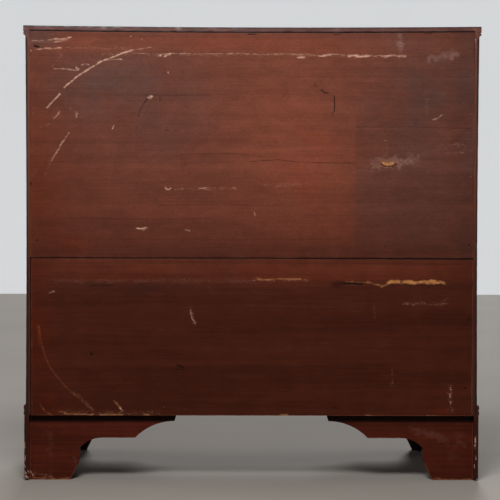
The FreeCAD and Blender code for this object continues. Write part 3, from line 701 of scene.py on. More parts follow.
lowerPatches = [
    (428, 172, 20, 14, 0.35, 0.9, 0),
    (405, 148, 30, 10, 0.3, 0.8, 0),
    (-404, 148, 22, 10, 0.35, 0.8, 0),
    (440, 158, 40, 40, -0.3, 0.2, 0),
    (455, 300, 34, 160, 0.05, 0.9, 0),
    (0, 452, 500, 24, 0.22, 0.3, 0.1),
    (-120, 400, 200, 60, 0.12, 0.2, 0),
    (180, 260, 160, 90, -0.16, 0, 0),
    (-460, 300, 36, 200, -0.1, 0, 0),
    (150, 165, 230, 26, -0.26, 0, 0),
    (-170, 160, 120, 24, -0.2, 0, 0),
    (455, 460, 40, 30, -0.4, 0.1, 0),
    (-181, 419, 16, 6, -1.3, 0, 0),
    (200, 434, 130, 7, -0.25, 0.3, 0),
    (240, 407, 150, 12, -0.3, 0, 0.15),
    (-455, 460, 40, 30, -0.3, 0, 0),
]
# The same between straight soft sides: low and high x, low and high z, softness
upperBoxes = [
    (-480, -218, 490, 815, 9, -0.12, -0.05, 0.1),
    (-218, -90, 500, 740, 8, 0.05, 0.15, 0),
    (340, 400, 483, 520, 6, 0, 0.3, 0),
    (-480, 480, 905, 940, 4, 0.08, 0.2, 0),
]
lowerBoxes = [
    (-480, 480, 424, 480, 4, 0.12, 0.25, 0),
    (-480, 408, 300, 415, 14, -0.08, 0, 0),
]
oldHoles = [
    (454.5, 917.5), (467, 630.3), (454.3, 509.4), (-459.4, 501), (-459.4, 342), (-453, 197.8),
]
markLook = {
    "pale": paint(210, 164, 142),
    "tan": paint(168, 112, 72),
    "warm": paint(146, 80, 50),
    "veil": paint(140, 104, 96),
    "dark": paint(22, 10, 8),
    "glow": (1.16, 0.8, 0.54),
    "haze": (1.7, 0.86, 0.72),
    "smear": paint(168, 122, 98),
    "gold": paint(196, 132, 76),
    "wander": 1.2 * mm,
    "wanderScale": 60.0,
    "raggedScale": 240.0,
    "raggedSqueeze": (0.6, 1, 1),
    "body": 1.35,  # how full a mark is along its path, and how fast it fades over its width
    "slope": 2.2,
    "reach": 1.3,  # in widths of the mark
    "ragged": 1.1,
    "darkRagged": 0.15,  # dark marks keep straighter, finer edges
    "darkWander": 0.15,
    "cell": 2.0,  # of the grid, in mm, that says how long the triangles may be
    "finest": 2.45 * mm,  # the edges of triangles at a mark, at a soft one, and between marks
    "soft": 4.5 * mm,
    "spacing": 9.0 * mm,
    "fineReach": (0.65, 1.2),  # how far the fine triangles reach: in widths of the mark, and mm beyond
    "faceDepth": 1.5 * mm,  # points within it of the rear face take the marks
    "wave": 0.35 * mm,  # the plane's long hollows
    "waveScale": (3, 1, 26),
    "holeRadius": 2.1,
    "holeDepth": 1.2,
}
markKinds = ("veil", "smear", "tan", "warm", "gold", "pale", "dark")
# Shapes of the old boards: how far the top hangs along the middle of its rear edge with the upper back
# board under it, and how far the sides draw in between the mouldings at the back
bend = {
    "hang": 2.9 * mm,
    "hangFrom": 900 * mm,
    "hangOver": 40 * mm,
    "pinch": 1.7 * mm,
    "pinchFrom": 165 * mm,
}


def hang(x):
    return bend["hang"] * np.clip(1 - (x / halfCase) ** 2, 0, 1)


def smooth(value):
    value = np.clip(value, 0, 1)
    return value * value * (3 - 2 * value)


lattice = {
    "seedShift": (13.7, 5.3, 2.9),
    "cornerMix": (12.9898, 78.233, 37.719),
    "spread": 43758.5453,
}


def wandering(points, scale, seed):
    # Soft noise of about -1 to 1 at each point, blended between the corners of a lattice
    place = points * scale + seed * np.array(lattice["seedShift"])
    cell = np.floor(place)
    share = smooth(place - cell)
    total = np.zeros(len(points))
    for corner in itertools.product((0, 1), repeat=3):
        weight = np.prod(np.where(corner, share, 1 - share), axis=1)
        value = np.sin((cell + corner) @ lattice["cornerMix"]) * lattice["spread"]
        total += weight * (2 * (value % 1) - 1)
    return total


def boardMakers(marks, patches=(), boxes=(), faceY=backY, hung=False, holes=()):
    # What wornCopy asks for a board seen from behind: finer triangles at its marks, then fields and dents
    rows = [(kind, *row[:3], row[3:]) for kind, kindRows in marks.items() for row in kindRows]
    for x, z in holes:
        rows.append(("dark", markLook["holeRadius"] * 2, 1.0, markLook["holeDepth"], [(x, z), (x + 0.1, z)]))
    cell, left = markLook["cell"], halfCase / mm + 12
    across, up = np.arange(-left, left + cell, cell), np.arange(-cell, topZ / mm + cell, cell)
    cells = np.stack(np.meshgrid(across, up, indexing="ij"), axis=2).reshape(-1, 2)
    lengths = np.full(len(cells), markLook["spacing"])

    def pathGaps(flat, path, reach):
        path = np.array(path, float)
        return gapsTo(flat, zip(path, path[1:]), reach)

    for kind, width, _, _, path in rows:
        reach = width * markLook["fineReach"][0] + markLook["fineReach"][1]
        close = pathGaps(cells, path, reach) < reach
        longest = markLook["soft" if kind in ("veil", "smear") else "finest"]
        lengths[close] = np.minimum(lengths[close], longest)
    lengths = lengths.reshape(len(across), len(up))

    def wanted(middles, normals):
        flat = middles[:, (0, 2)] / mm
        i = np.clip(np.rint((flat[:, 0] + left) / cell).astype(int), 0, len(across) - 1)
        j = np.clip(np.rint((flat[:, 1] + cell) / cell).astype(int), 0, len(up) - 1)
        return np.where(normals[:, 1] < 0.9, easing["grid"], lengths[i, j])

    def shape(points, normals):
        rear = points[:, 1] > faceY - markLook["faceDepth"]
        stray = np.zeros((len(points), 2))
        for axis in (0, 1):
            stray[rear, axis] = wandering(points[rear], markLook["wanderScale"], 7.3 * axis + 1)
        flat = (points[:, (0, 2)] + stray * markLook["wander"]) / mm
        straight = (points[:, (0, 2)] + stray * markLook["wander"] * markLook["darkWander"]) / mm
        ragged = np.zeros(len(points))
        squeezed = points[rear] * markLook["raggedSqueeze"]
        ragged[rear] = markLook["ragged"] * wandering(squeezed, markLook["raggedScale"], 5)
        fields = {kind: np.zeros(len(points)) for kind in markKinds}
        depth = np.zeros(len(points))
        for kind, width, strength, deep, path in rows:
            dark = kind == "dark"
            gaps = pathGaps(straight if dark else flat, path, width * markLook["reach"]) / width
            edge = ragged * (markLook["darkRagged"] if dark else 1.0)
            share = smooth(markLook["body"] + edge - gaps * markLook["slope"]) * rear
            fields[kind] = np.maximum(fields[kind], share * strength)
            depth = np.maximum(depth, share * deep * mm)
        regions = np.zeros((len(points), 3))
        for x, z, reachX, reachZ, *amounts in patches:
            share = np.exp(-((flat[:, 0] - x) / reachX) ** 2 - ((flat[:, 1] - z) / reachZ) ** 2)
            regions += share[:, None] * np.array(amounts)
        for x0, x1, z0, z1, soft, *amounts in boxes:
            share = smooth(0.5 + (flat[:, 0] - x0) / soft) * smooth(0.5 + (x1 - flat[:, 0]) / soft)
            share *= smooth(0.5 + (flat[:, 1] - z0) / soft) * smooth(0.5 + (z1 - flat[:, 1]) / soft)
            regions += share[:, None] * np.array(amounts)
        fields.update(tone=regions[:, 0], glow=regions[:, 1], haze=regions[:, 2])
        wave = np.zeros(len(points))
        wave[rear] = 0.5 + 0.5 * wandering(points[rear] * markLook["waveScale"], 1.0, 4.0)
        points[:, 1] -= depth + markLook["wave"] * wave
        if hung:
            lifted = smooth((points[:, 2] - bend["hangFrom"]) / bend["hangOver"])
            points[:, 2] -= hang(points[:, 0]) * lifted
        return points, fields

    return wanted, shape


boardNoise = {  # scale, or scales along, through and up, then detail, roughness and distortion
    "grain": ((60, 1, 420), 4, 0.7),
    "speckle": (900, 2, 0.6),
    "cloudy": (13, 5, 0.62),
    "patchy": ((24, 24, 38.4), 6, 0.68, 0.6),
    "grainy": ((170, 1, 560), 3, 0.7),
    "veiled": (24, 5, 0.65),
    "streaky": ((110, 1, 620), 4, 0.75),
    "dotty": (420, 3, 0.7),
}
boardFades = {  # from and to, and the shares at both
    "kept": (0.4, 0.58, 0.25, 1.0),
    "cloudy": (0.3, 0.7, 0.4, 1.3),
    "veiled": (0.35, 0.65, 0.0, 0.6),
    "scattered": (0.5, 0.63),
    "grainy": (paintedShadeBelow, 500 * mm, 0.55, 1.05),  # the grain's swing in stops, by height
}
patchySwing = 0.9


def boardMarks(s, colour):
    # Paints the fields of the marks over the stain, their edges broken by grain and speckle
    seen = {kind: s.noise(*settings) for kind, settings in boardNoise.items()}
    kept = s.fade(s.blend(seen["grain"], seen["speckle"], 0.6), *boardFades["kept"])
    cloudy = s.fade(seen["cloudy"], *boardFades["cloudy"])
    tone = s.plus(s.field("tone"), s.sway(seen["patchy"], patchySwing))
    grainy = s.sway(seen["grainy"], s.fade(s.z, *boardFades["grainy"]))
    colour = s.stops(colour, s.plus(tone, grainy))
    redder = s.vector("MULTIPLY", colour, markLook["glow"])
    colour = s.mix(s.times(s.field("glow"), cloudy, clamp=True), colour, redder)
    # A pinkish grey over the stain; on the upper board near x 190 to 330 it is a painted sheen
    grey = s.vector("MULTIPLY", s.add("ShaderNodeRGBToBW", {0: colour})[0], markLook["haze"])
    colour = s.mix(s.times(s.field("haze"), cloudy, clamp=True), colour, grey)
    veiled = s.fade(seen["veiled"], *boardFades["veiled"])
    scattered = s.fade(s.blend(seen["streaky"], seen["dotty"], 0.55), *boardFades["scattered"])
    shares = {"veil": veiled, "smear": scattered, "tan": kept, "warm": kept, "gold": kept, "pale": kept}
    for kind, share in shares.items():
        colour = s.mix(s.times(s.field(kind), share), colour, markLook[kind])
    return s.mix(s.field("dark"), colour, markLook["dark"])


def towardBack(s, start, full, most=1.0):
    # 0 up to start mm before the case's back, and most from full mm before it
    return s.fade(s.y, backY - start * mm, backY - full * mm, 0.0, most)


def towardSide(s, start, full, most=1.0, out=None):
    return s.fade(out or s.math("ABSOLUTE", s.x), halfCase - start * mm, halfCase - full * mm, 0.0, most)


def insideCase(s):
    # The faces that look into the case, which were never stained
    side = s.fade(s.math("ABSOLUTE", s.x), halfInside + 1 * mm, halfInside + 0.2 * mm)
    back = s.fade(s.y, panelBackY + 1 * mm, panelBackY + 0.2 * mm)
    front = s.fade(s.y, frontY + 0.8 * mm, frontY + 1.8 * mm)
    low = s.fade(s.z, caseBottomZ + 1 * mm, caseBottomZ + 2 * mm)
    low = s.times(low, s.fade(s.z, caseTopZ + 2 * mm, caseTopZ + 1 * mm))
    return s.times(s.times(side, back), s.times(front, low))


backLook = {
    "base": paint(110, 59, 44),
    "deep": paint(100, 53, 39),
    # Painted shade: the back's low colours, much darker near the floor
    "shadedLowBase": paint(73, 31, 18),
    "shadedLowDeep": paint(62, 25, 14),
    "mottle": 0.12,
}
endLook = {
    "arris": paint(34, 16, 14),
    "line": paint(110, 62, 32),
    "oldEnd": paint(50, 23, 18),
    "topDark": paint(74, 38, 34),
    "topPale": paint(98, 56, 48),
    "topCorner": paint(44, 27, 26),
    "endStops": -0.5,
    "lineMost": 0.35,
    # The darkening in the feet's recess is painted shade
    "most": 0.85,  # of the arris, old ends, top corner and the feet's recess
}


def sideMarks(s, colour):
    # The sides' rear ends: coloured like the back, a dark outer arris and a rubbed line beside the boards
    rear = towardBack(s, 2, 1)
    # The rear ends take the back's painted shade towards the floor
    dull = s.mix(s.fade(s.z, paintedShadeBelow, paintedShadeEndsAbove), backLook["shadedLowBase"], backLook["base"])
    colour = s.mix(rear, colour, s.stops(dull, endLook["endStops"]))
    out = s.plus(s.math("ABSOLUTE", s.x), s.sway(s.noise(26.0, 4.0, 0.7), 3 * mm))
    arris = s.times(towardBack(s, 7, 5), towardSide(s, 5.2, 3.4, endLook["most"], out))
    colour = s.mix(arris, colour, endLook["arris"])
    line = s.math("SUBTRACT", 1.0, towardSide(s, 9.6, 7.2, out=out))
    line = s.times(line, s.fade(s.noise((30, 30, 9)), 0.4, 0.6))
    return s.mix(s.times(rear, s.times(line, endLook["lineMost"])), colour, endLook["line"])


def rearEnd(s, colour):
    # The rear end grain of mouldings and feet, dark with age
    ragged = s.plus(s.y, s.sway(s.noise(60.0, 4.0), 9 * mm))
    end = s.fade(ragged, backY - 9 * mm, backY - 5 * mm, 0.0, endLook["most"])
    return s.mix(s.times(end, towardSide(s, 14, 11)), colour, endLook["oldEnd"])


def bracketMarks(s, colour):
    # The rear feet: painted shade along their tops, under the overhang of the back
    colour = boardMarks(s, rearEnd(s, colour))
    ragged = s.plus(s.z, s.times(s.noise(18.0, 4.0), 3 * mm))
    # Painted shade: a dark band along the top of the feet's faces, set back under the back boards
    paintedRecessShade = s.times(s.fade(ragged, 121 * mm, 129 * mm, 0.0, endLook["most"]),
                     s.fade(s.y, bracketY + 6 * mm, bracketY + 2 * mm))
    return s.mix(paintedRecessShade, colour, woodLook["darkening"])


def shadedInside(s, colour):
    # The hidden sides of the front feet and their blocks, darkened with painted shade
    paintedInnerShade = s.times(s.fade(s.y, frontY + 12 * mm, frontY + 14 * mm), towardSide(s, 12, 14))
    return s.mix(s.times(paintedInnerShade, 0.9), colour, woodLook["darkening"])


def topMarks(s, colour):
    # The top's rear edge, greyer and darker than the boards below it, with painted shadow under its
    # overhang: a black line
    rear = towardBack(s, 3, 1)
    dull = s.mix(s.fade(s.noise(20.0, 4.0), 0.35, 0.65), endLook["topDark"], endLook["topPale"])
    colour = s.mix(s.times(rear, 0.9), colour, dull)
    rise = s.times(s.math("POWER", s.math("DIVIDE", s.x, halfCase), 2.0), -bend["hang"])
    flat = s.plus(s.plus(s.z, rise), bend["hang"])
    upper = s.fade(flat, topZ - 4.2 * mm, topZ - 1.6 * mm, 0.0, endLook["most"])
    corner = s.times(towardBack(s, 4, 2), upper)
    colour = s.mix(corner, colour, endLook["topCorner"])
    # Painted shadow: a black band under the top's overhang, at the back
    paintedLipShadow = s.times(rear, s.fade(flat, topZ - 7.6 * mm, topZ - 8.8 * mm, 0.0, 0.9))
    paintedLipShadow = s.times(paintedLipShadow, towardSide(s, 8.5, 9.5))
    return s.mix(paintedLipShadow, colour, woodLook["darkening"])


print("materials and makers ready")

footLook = {
    **backLook,
    # Painted shade near the floor
    "shadedLowBase": paint(80, 30, 17),
    "shadedLowDeep": paint(62, 22, 12),
    "mottle": 0.2,
}
showLook = {
    "base": paint(128, 64, 42),
    "deep": paint(88, 38, 25),
    # Painted shade near the floor, a slight one
    "shadedLowBase": paint(120, 58, 38),
    "shadedLowDeep": paint(80, 34, 22),
    "rubbed": paint(152, 90, 60),
    "roughness": 0.4,
    "edgeWear": 2.2 * mm,
    "edgeRub": 0.4,
}
dullLook = {**showLook, "roughness": 0.7}
sidePlan = dict(grain="z", look=showLook, marks=sideMarks, specular=0.25)
backPlan = dict(grain="x", look=backLook, marks=boardMarks, specular=0.07)
mouldingPlan = dict(grain="y", look=dullLook, marks=rearEnd, specular=0.1)

woodBoards = {
    "case_side_left": dict(shift=(1.3, 0.2, 0), **sidePlan),
    "case_side_right": dict(shift=(2.9, 0.7, 0), **sidePlan),
    "top_board": dict(shift=(0, 3.1, 0), look=showLook, marks=topMarks, coat=0.04, specular=0.3),
    "case_bottom": dict(shift=(0, 4.3, 0)),
    "top_rails": dict(shift=(0, 1.7, 0.4)),
    "drawer_rails": dict(shift=(0, 2.2, 0.9)),
    "drawer_runners": dict(grain="y", shift=(0.3, 0, 1.1)),
    "drawer_stops": dict(shift=(0.4, 0.6, 0)),
    "back_board_upper": dict(shift=(0.2, 0, 0.6), **backPlan),
    "back_board_lower": dict(shift=(0.9, 0, 1.4), **backPlan),
    "base_moulding_front": dict(shift=(0, 0.3, 0.2), look=showLook),
    "base_moulding_left": dict(shift=(0.5, 0, 0.2), **mouldingPlan),
    "base_moulding_right": dict(shift=(0.8, 0, 0.2), **mouldingPlan),
    "foot_corner_blocks": dict(grain="z", shift=(0.8, 0.9, 0.2), marks=shadedInside),
}
rearFeet = dict(look=footLook, marks=bracketMarks, specular=0.07)
frontFeet = dict(look=showLook, marks=shadedInside)
for name in nodes:
    if name.startswith("foot_") and name not in woodBoards:
        grain = "y" if name.endswith("_side") else "x"
        plan = rearFeet if "_rear_" in name else frontFeet
        woodBoards[name] = dict(grain=grain, shift=(len(name) * 0.37, 0.4, 0.7), **plan)
drawerGrain = {"side_left": "y", "side_right": "y", "back": "x", "bottom": "x", "cock_beads": "x"}
for number in drawers:
    drawer = f"drawer_{number}_"
    woodBoards[drawer + "front"] = dict(shift=(0.6 * number, 0.2, 1.3 * number), look=showLook, coat=0.15)
    for part, grain in drawerGrain.items():
        woodBoards[drawer + part] = dict(grain=grain, shift=(0.7 * number, 0.4, 0.9))


def sag(points, normals):
    points[:, 2] -= hang(points[:, 0]) * smooth(points[:, 1] / backY)
    return points, {}


def pinch(points, normals):
    # The sides draw in a little between the mouldings at the back
    x, y, z = points.T
    rise = np.clip((z - bend["pinchFrom"]) / (caseTopZ - bend["pinchFrom"]), 0, 1)
    outside = np.abs(x) > halfCase - 3 * mm
    points[:, 0] -= np.sign(x) * outside * bend["pinch"] * np.sin(np.pi * rise) * smooth(y / backY)
    return points, {}


def fineFront(middles, normals):
    # Small triangles over a drawer's face keep the darkening around its bores in its place
    return np.where(normals[:, 1] < -0.9, easing["faceStep"], easing["grid"])


wornPlans = {
    "top_board": dict(shape=sag),
    "case_side_left": dict(shape=pinch),
    "case_side_right": dict(shape=pinch),
}
for number in drawers:
    wornPlans[f"drawer_{number}_front"] = dict(finest=easing["faceFinest"], wanted=fineFront)
seenBehind = {
    "back_board_upper": boardMakers(upperMarks, upperPatches, upperBoxes, hung=True, holes=oldHoles[:4]),
    "back_board_lower": boardMakers(lowerMarks, lowerPatches, lowerBoxes, holes=oldHoles[4:]),
    "foot_rear_right_back": boardMakers(leftFootMarks, faceY=bracketY),
    "foot_rear_left_back": boardMakers(rightFootMarks, faceY=bracketY),
    "foot_rear_right_side": boardMakers(leftFootMarks),
    "foot_rear_left_side": boardMakers(rightFootMarks),
}
for node, (wanted, shape) in seenBehind.items():
    finest = markLook["finest"]
    wornPlans[node] = dict(finest=finest, wanted=wanted, shape=shape, ease=0.5 * mm, nick=0.35 * mm)

for node, plan in woodBoards.items():
    material = woodMaterial(node, rawWhere=insideCase, **plan)
    if node.endswith("cock_beads"):
        nodes[node].data.materials.clear()
        nodes[node].data.materials.append(material)
        continue
    piece = wornCopy(node, node + "_worn", **wornPlans.get(node, {}))
    dress(piece, bodyOf[node], material, slotOf[node], node)
    print(node, len(piece.data.polygons))


# Brass and iron: posts, nuts and nails are spread by Geometry Nodes, and bails follow a path

def growTree(name, inputs):
    tree = bpy.data.node_groups.new(name, "GeometryNodeTree")
    tree.is_modifier = True
    tree.interface.new_socket("Geometry", in_out="INPUT", socket_type="NodeSocketGeometry")
    for key, kind in inputs.items():
        tree.interface.new_socket(key, in_out="INPUT", socket_type="NodeSocket" + kind)
    tree.interface.new_socket("Geometry", in_out="OUTPUT", socket_type="NodeSocketGeometry")
    return tree, tree.nodes.new("NodeGroupInput").outputs


def closeTree(tree, geometry, material):
    plain = addNode(tree, "GeometryNodeRealizeInstances", {0: geometry})["Geometry"]
    made = addNode(tree, "GeometryNodeSetMaterial", {"Geometry": plain, "Material": material})
    tree.links.new(made["Geometry"], tree.nodes.new("NodeGroupOutput").inputs[0])
    return tree


def spreadTree():
    # One piece on each point, turned and shrunk a little by chance
    tree, given = growTree("spread", {
        "Piece": "Object", "Turn": "Vector", "Shrink": "Float", "Seed": "Int", "Material": "Material",
    })
    most, seed = given["Turn"], given["Seed"]
    back = addNode(tree, "ShaderNodeVectorMath", {0: most, 3: -1.0}, operation="SCALE")["Vector"]
    turn = addNode(tree, "FunctionNodeRandomValue", {"Min": back, "Max": most, "Seed": seed},
                   data_type="FLOAT_VECTOR")["Value"]
    least = addNode(tree, "ShaderNodeMath", {0: 1.0, 1: given["Shrink"]}, operation="SUBTRACT")["Value"]
    size = addNode(tree, "FunctionNodeRandomValue", {2: least, 3: 1.0, "Seed": seed}, data_type="FLOAT")[1]
    piece = addNode(tree, "GeometryNodeObjectInfo", {"Object": given["Piece"]})["Geometry"]
    placed = addNode(tree, "GeometryNodeInstanceOnPoints", {
        "Points": given["Geometry"], "Instance": piece, "Rotation": turn, "Scale": size,
    })["Instances"]
    return closeTree(tree, placed, given["Material"])


def rodTree():
    # A round rod along the edges of a mesh, as thick as the points' girth
    tree, given = growTree("rod", {"Sides": "Int", "Material": "Material"})
    curve = addNode(tree, "GeometryNodeMeshToCurve", {0: given["Geometry"]})["Curve"]
    named = addNode(tree, "GeometryNodeInputNamedAttribute", {"Name": "girth"}, data_type="FLOAT")
    circle = {"Resolution": given["Sides"], "Radius": 1.0}
    ring = addNode(tree, "GeometryNodeCurvePrimitiveCircle", circle)["Curve"]
    shape = {"Curve": curve, "Profile Curve": ring, "Scale": named["Attribute"], "Fill Caps": True}
    return closeTree(tree, addNode(tree, "GeometryNodeCurveToMesh", shape)["Mesh"], given["Material"])


def bakedMesh(holder):
    # The mesh of an object with its modifiers, in place of the object
    graph = bpy.context.evaluated_depsgraph_get()
    made = bpy.data.meshes.new_from_object(holder.evaluated_get(graph), depsgraph=graph)
    bpy.data.objects.remove(holder)
    return made


def grow(name, mesh, tree, **values):
    # The plain mesh that a tree makes out of another one
    holder = addObject(name + "_start", mesh)
    modifier = holder.modifiers.new("grow", "NODES")
    modifier.node_group = tree
    for socket in tree.interface.items_tree:
        if socket.in_out == "INPUT" and socket.name in values:
            modifier[socket.identifier] = values[socket.name]
    made = bakedMesh(holder)
    made.name = name
    shadeSmooth(made, "metal")
    return addObject(name, made)


def pointMesh(name, places, girths=None):
    # Bare points, or with girths a path through them
    mesh = bpy.data.meshes.new(name)
    mesh.from_pydata(places, [(i, i + 1) for i in range(len(places) - 1)] if girths else [], [])
    if girths:
        mesh.attributes.new("girth", "FLOAT", "POINT").data.foreach_set("value", girths)
    return mesh


def loftMesh(name, rings):
    # Rings of points joined into a closed skin, their middles capped
    bm = bmesh.new()
    loops = [[bm.verts.new(point) for point in ring] for ring in rings]
    for low, high in zip(loops, loops[1:]):
        for i in range(len(low)):
            bm.faces.new((low[i], low[i - 1], high[i - 1], high[i]))
    bm.faces.new(loops[0])
    bm.faces.new(loops[-1][::-1])
    bmesh.ops.recalc_face_normals(bm, faces=bm.faces)
    mesh = bpy.data.meshes.new(name)
    bm.to_mesh(mesh)
    bm.free()
    return mesh


def roundRing(radius, y, sides):
    angles = [2 * math.pi * i / sides for i in range(sides)]
    return [(radius * math.cos(a), y, radius * math.sin(a)) for a in angles]


def squareRing(half, y):
    # A square with its corners cut, seen along y
    c = half * 0.82
    return [(x, y, z) for x, z in ((half, -c), (half, c), (c, half), (-c, half),
                                   (-half, c), (-half, -c), (-c, -half), (c, -half))]


pull = {
    "middles": 260 * mm,
    "halfSpan": 38 * mm,
    "reach": 13 * mm,  # drawer front to the bail's axis
    # Distance out of the drawer front and radius of the post, from the tip inwards, in mm
    "profile": [
        (18.5, 1.3), (18.35, 2.2), (17.6, 3.6), (16.6, 4.7), (15.6, 5.35), (14.6, 5.6), (11.4, 5.6),
        (10.4, 5.4), (9.2, 4.8), (7.8, 4.0), (6.2, 3.5), (4.9, 3.3), (4.0, 3.45), (3.4, 4.0), (3.2, 4.8),
        (2.9, 5.0), (2.6, 5.3), (2.3, 6.6), (1.9, 7.9), (1.3, 8.6), (0.6, 8.78), (0.02, 8.7), (0.0, 2.6),
        (-27.5, 2.6),
    ],
    "postSides": 32,
    "boreRadius": 2.12 * mm,
    "boreSides": 16,
    "boreReach": 12 * mm,
    "nutY": 22.0 * mm,  # front of the nut behind the drawer's face
    "nut": 4.0 * mm,
    "nutHalf": 5.5 * mm,
    "nutEase": 0.5 * mm,
    "pinRadius": 2.0 * mm,
    "pinInner": 33.2 * mm,
    "pinOuter": 40.2 * mm,
    "armRadius": 2.3 * mm,
    "armInner": 41.0 * mm,
    "gripRadius": 3.7 * mm,
    "elbowX": 43.6 * mm,
    "elbowRadius": 3.2 * mm,
    "cornerX": 33.3 * mm,
    "cornerDown": 19 * mm,
    "cornerRadius": 15 * mm,
    "gripHalf": 29.3 * mm,
    "rodSides": 20,
}


def postMesh():
    rings = [roundRing(radius * mm, frontY - out * mm, pull["postSides"]) for out, radius in pull["profile"]]
    post = addObject("post", loftMesh("post", rings))
    axisY = frontY - pull["reach"]
    ring = roundRing(pull["boreRadius"], 0, pull["boreSides"])
    ends = [[(end * pull["boreReach"], axisY + x, z) for x, y, z in ring] for end in (-1, 1)]
    bore = addObject("bore", loftMesh("bore", ends))
    cut = post.modifiers.new("bore", "BOOLEAN")
    cut.operation = "DIFFERENCE"
    cut.object = bore
    made = bakedMesh(post)
    bpy.data.objects.remove(bore)
    return made


def nutMesh():
    y = frontY + pull["nutY"]
    half, thick, ease = pull["nutHalf"], pull["nut"], pull["nutEase"]
    return loftMesh("nut", [
        squareRing(half - ease, y), squareRing(half, y + ease), squareRing(half, y + thick - ease),
        squareRing(half - ease * 1.2, y + thick),
    ])


def bailPath():
    # The bail from one pin's end to the other's: out from the middle, down, girth
    pin, arm, grip = pull["pinRadius"], pull["armRadius"], pull["gripRadius"]
    half = [(pull["pinInner"], 0.0, pin), (pull["pinOuter"], 0.0, pin), (pull["armInner"], 0.0, arm)]
    radius = pull["elbowRadius"]
    for i in range(9):
        turn = math.pi / 2 * i / 8
        half.append((pull["elbowX"] + radius * math.sin(turn), radius * (1 - math.cos(turn)), arm))
    radius, down = pull["cornerRadius"], pull["cornerDown"]
    for i in range(13):
        turn = math.pi / 2 * i / 12
        half.append((pull["cornerX"] + radius * math.cos(turn), down + radius * math.sin(turn), arm))
    for i in range(9):
        share = i / 8
        girth = arm + (grip - arm) * math.sin(share * math.pi / 2) ** 1.3
        half.append((pull["gripHalf"] * (1 - share), down + radius, girth))
    return half + [(-x, z, girth) for x, z, girth in half[-2::-1]]


nail = {
    "line": 462 * mm,
    "upper": (515.5, 646.67, 777.83, 909.0),
    "lower": (181.0, 305.75, 430.5),
    "across": (-420, -140, 140, 420),
    "acrossRows": (944, 151),
    "hungFrom": 930 * mm,  # nails above this height hang with the upper board
    "faceY": 249.55 * mm,
    "headHalf": 2.3 * mm,
    "headThickness": 1.2 * mm,
    "shankHalf": 1.2 * mm,
    "tipHalf": 0.5 * mm,
    "length": 34.0 * mm,
    "turn": (0.02, 0.12, 0.02),
    "shrink": 0.12,
    "seed": 5,
}


def nailMesh():
    # A cut nail, its flattened head at the top, struck a little hollow
    half, thick = nail["headHalf"], nail["headThickness"]
    sections = (
        (half * 0.5, 0.16 * mm), (half * 0.84, 0.05 * mm), (half, 0.3 * mm), (half, thick),
        (nail["shankHalf"], thick * 1.02), (nail["tipHalf"], nail["length"]),
    )
    return loftMesh("nail", [squareRing(reach, -deep) for reach, deep in sections])


def nailPlaces():
    uprights = [(side * nail["line"], z * mm) for side in (-1, 1) for z in nail["upper"] + nail["lower"]]
    rows = [(x * mm, z * mm) for x in nail["across"] for z in nail["acrossRows"]]
    return [(x, nail["faceY"], z - hang(x) * (z > nail["hungFrom"])) for x, z in uprights + rows]


brassLook = {
    "clean": paint(196, 152, 84),
    "tarnished": paint(104, 74, 40),
    "roughness": 0.24,
    "tarnishedRoughness": 0.3,  # more, where it is tarnished
}
metal = Shade("brass", metallic=1.0)
tarnish = metal.fade(metal.noise(140.0, 5.0, 0.65), 0.42, 0.62, 0.0, 0.55)
inward = metal.fade(metal.y, frontY - 4.5 * mm, frontY - 1.0 * mm)
worn = metal.plus(tarnish, metal.times(inward, 0.45), clamp=True)
metalColour = metal.mix(worn, brassLook["clean"], brassLook["tarnished"])
metal.bump(metal.noise(700.0, 2.0), 0.03 * mm)
metalRoughness = metal.plus(brassLook["roughness"], metal.times(worn, brassLook["tarnishedRoughness"]))
brassMaterial = metal.finish(metalColour, metalRoughness)
ironMaterial = woodMaterial("nailIron", look={**backLook, "mottle": 0.3}, specular=0.2)
spread, rod = spreadTree(), rodTree()
post, nut = addObject("post", postMesh()), addObject("nut", nutMesh())
path = bailPath()
for number in drawers:
    low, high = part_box(f"drawer_{number}_pull_posts")
    level = (low.z + high.z) / 2
    posts = pointMesh("postPlaces", [(side * pull["middles"] + end * pull["halfSpan"], 0, level)
                                     for side in (-1, 1) for end in (-1, 1)])
    fixed = dict(Turn=(0, 0, 0), Shrink=0.0, Seed=0, Material=brassMaterial)
    knobs = grow(f"drawer_{number}_posts", posts, spread, Piece=post, **fixed)
    nuts = grow(f"drawer_{number}_nuts", posts.copy(), spread, Piece=nut, **fixed)
    dress(knobs, f"drawer_{number}", brassMaterial, "brass", f"drawer_{number}_pull_posts")
    dress(nuts, f"drawer_{number}", brassMaterial, "brass")
    for side, end in (("left", -1), ("right", 1)):
        middle = end * pull["middles"]
        places = [(middle + x, frontY - pull["reach"], level - down) for x, down, _ in path]
        line = pointMesh("bailPath", places, [girth for _, _, girth in path])
        bail = grow(f"drawer_{number}_bail_{side}_rod", line, rod, Sides=pull["rodSides"],
                    Material=brassMaterial)
        dress(bail, f"bail_{number}_{side}", brassMaterial, "brass", f"drawer_{number}_bail_{side}")
heads = addObject("nail", nailMesh())
nails = grow("back_nail_set", pointMesh("nailPlaces", nailPlaces()), spread, Piece=heads, Turn=nail["turn"],
             Shrink=nail["shrink"], Seed=nail["seed"], Material=ironMaterial)
dress(nails, "case", ironMaterial, "nail_iron", "back_nails")
for lender in (post, nut, heads):
    bpy.data.objects.remove(lender)
print("brass and nails ready")


# Studio: a plain pale floor and backdrop, soft light and the camera

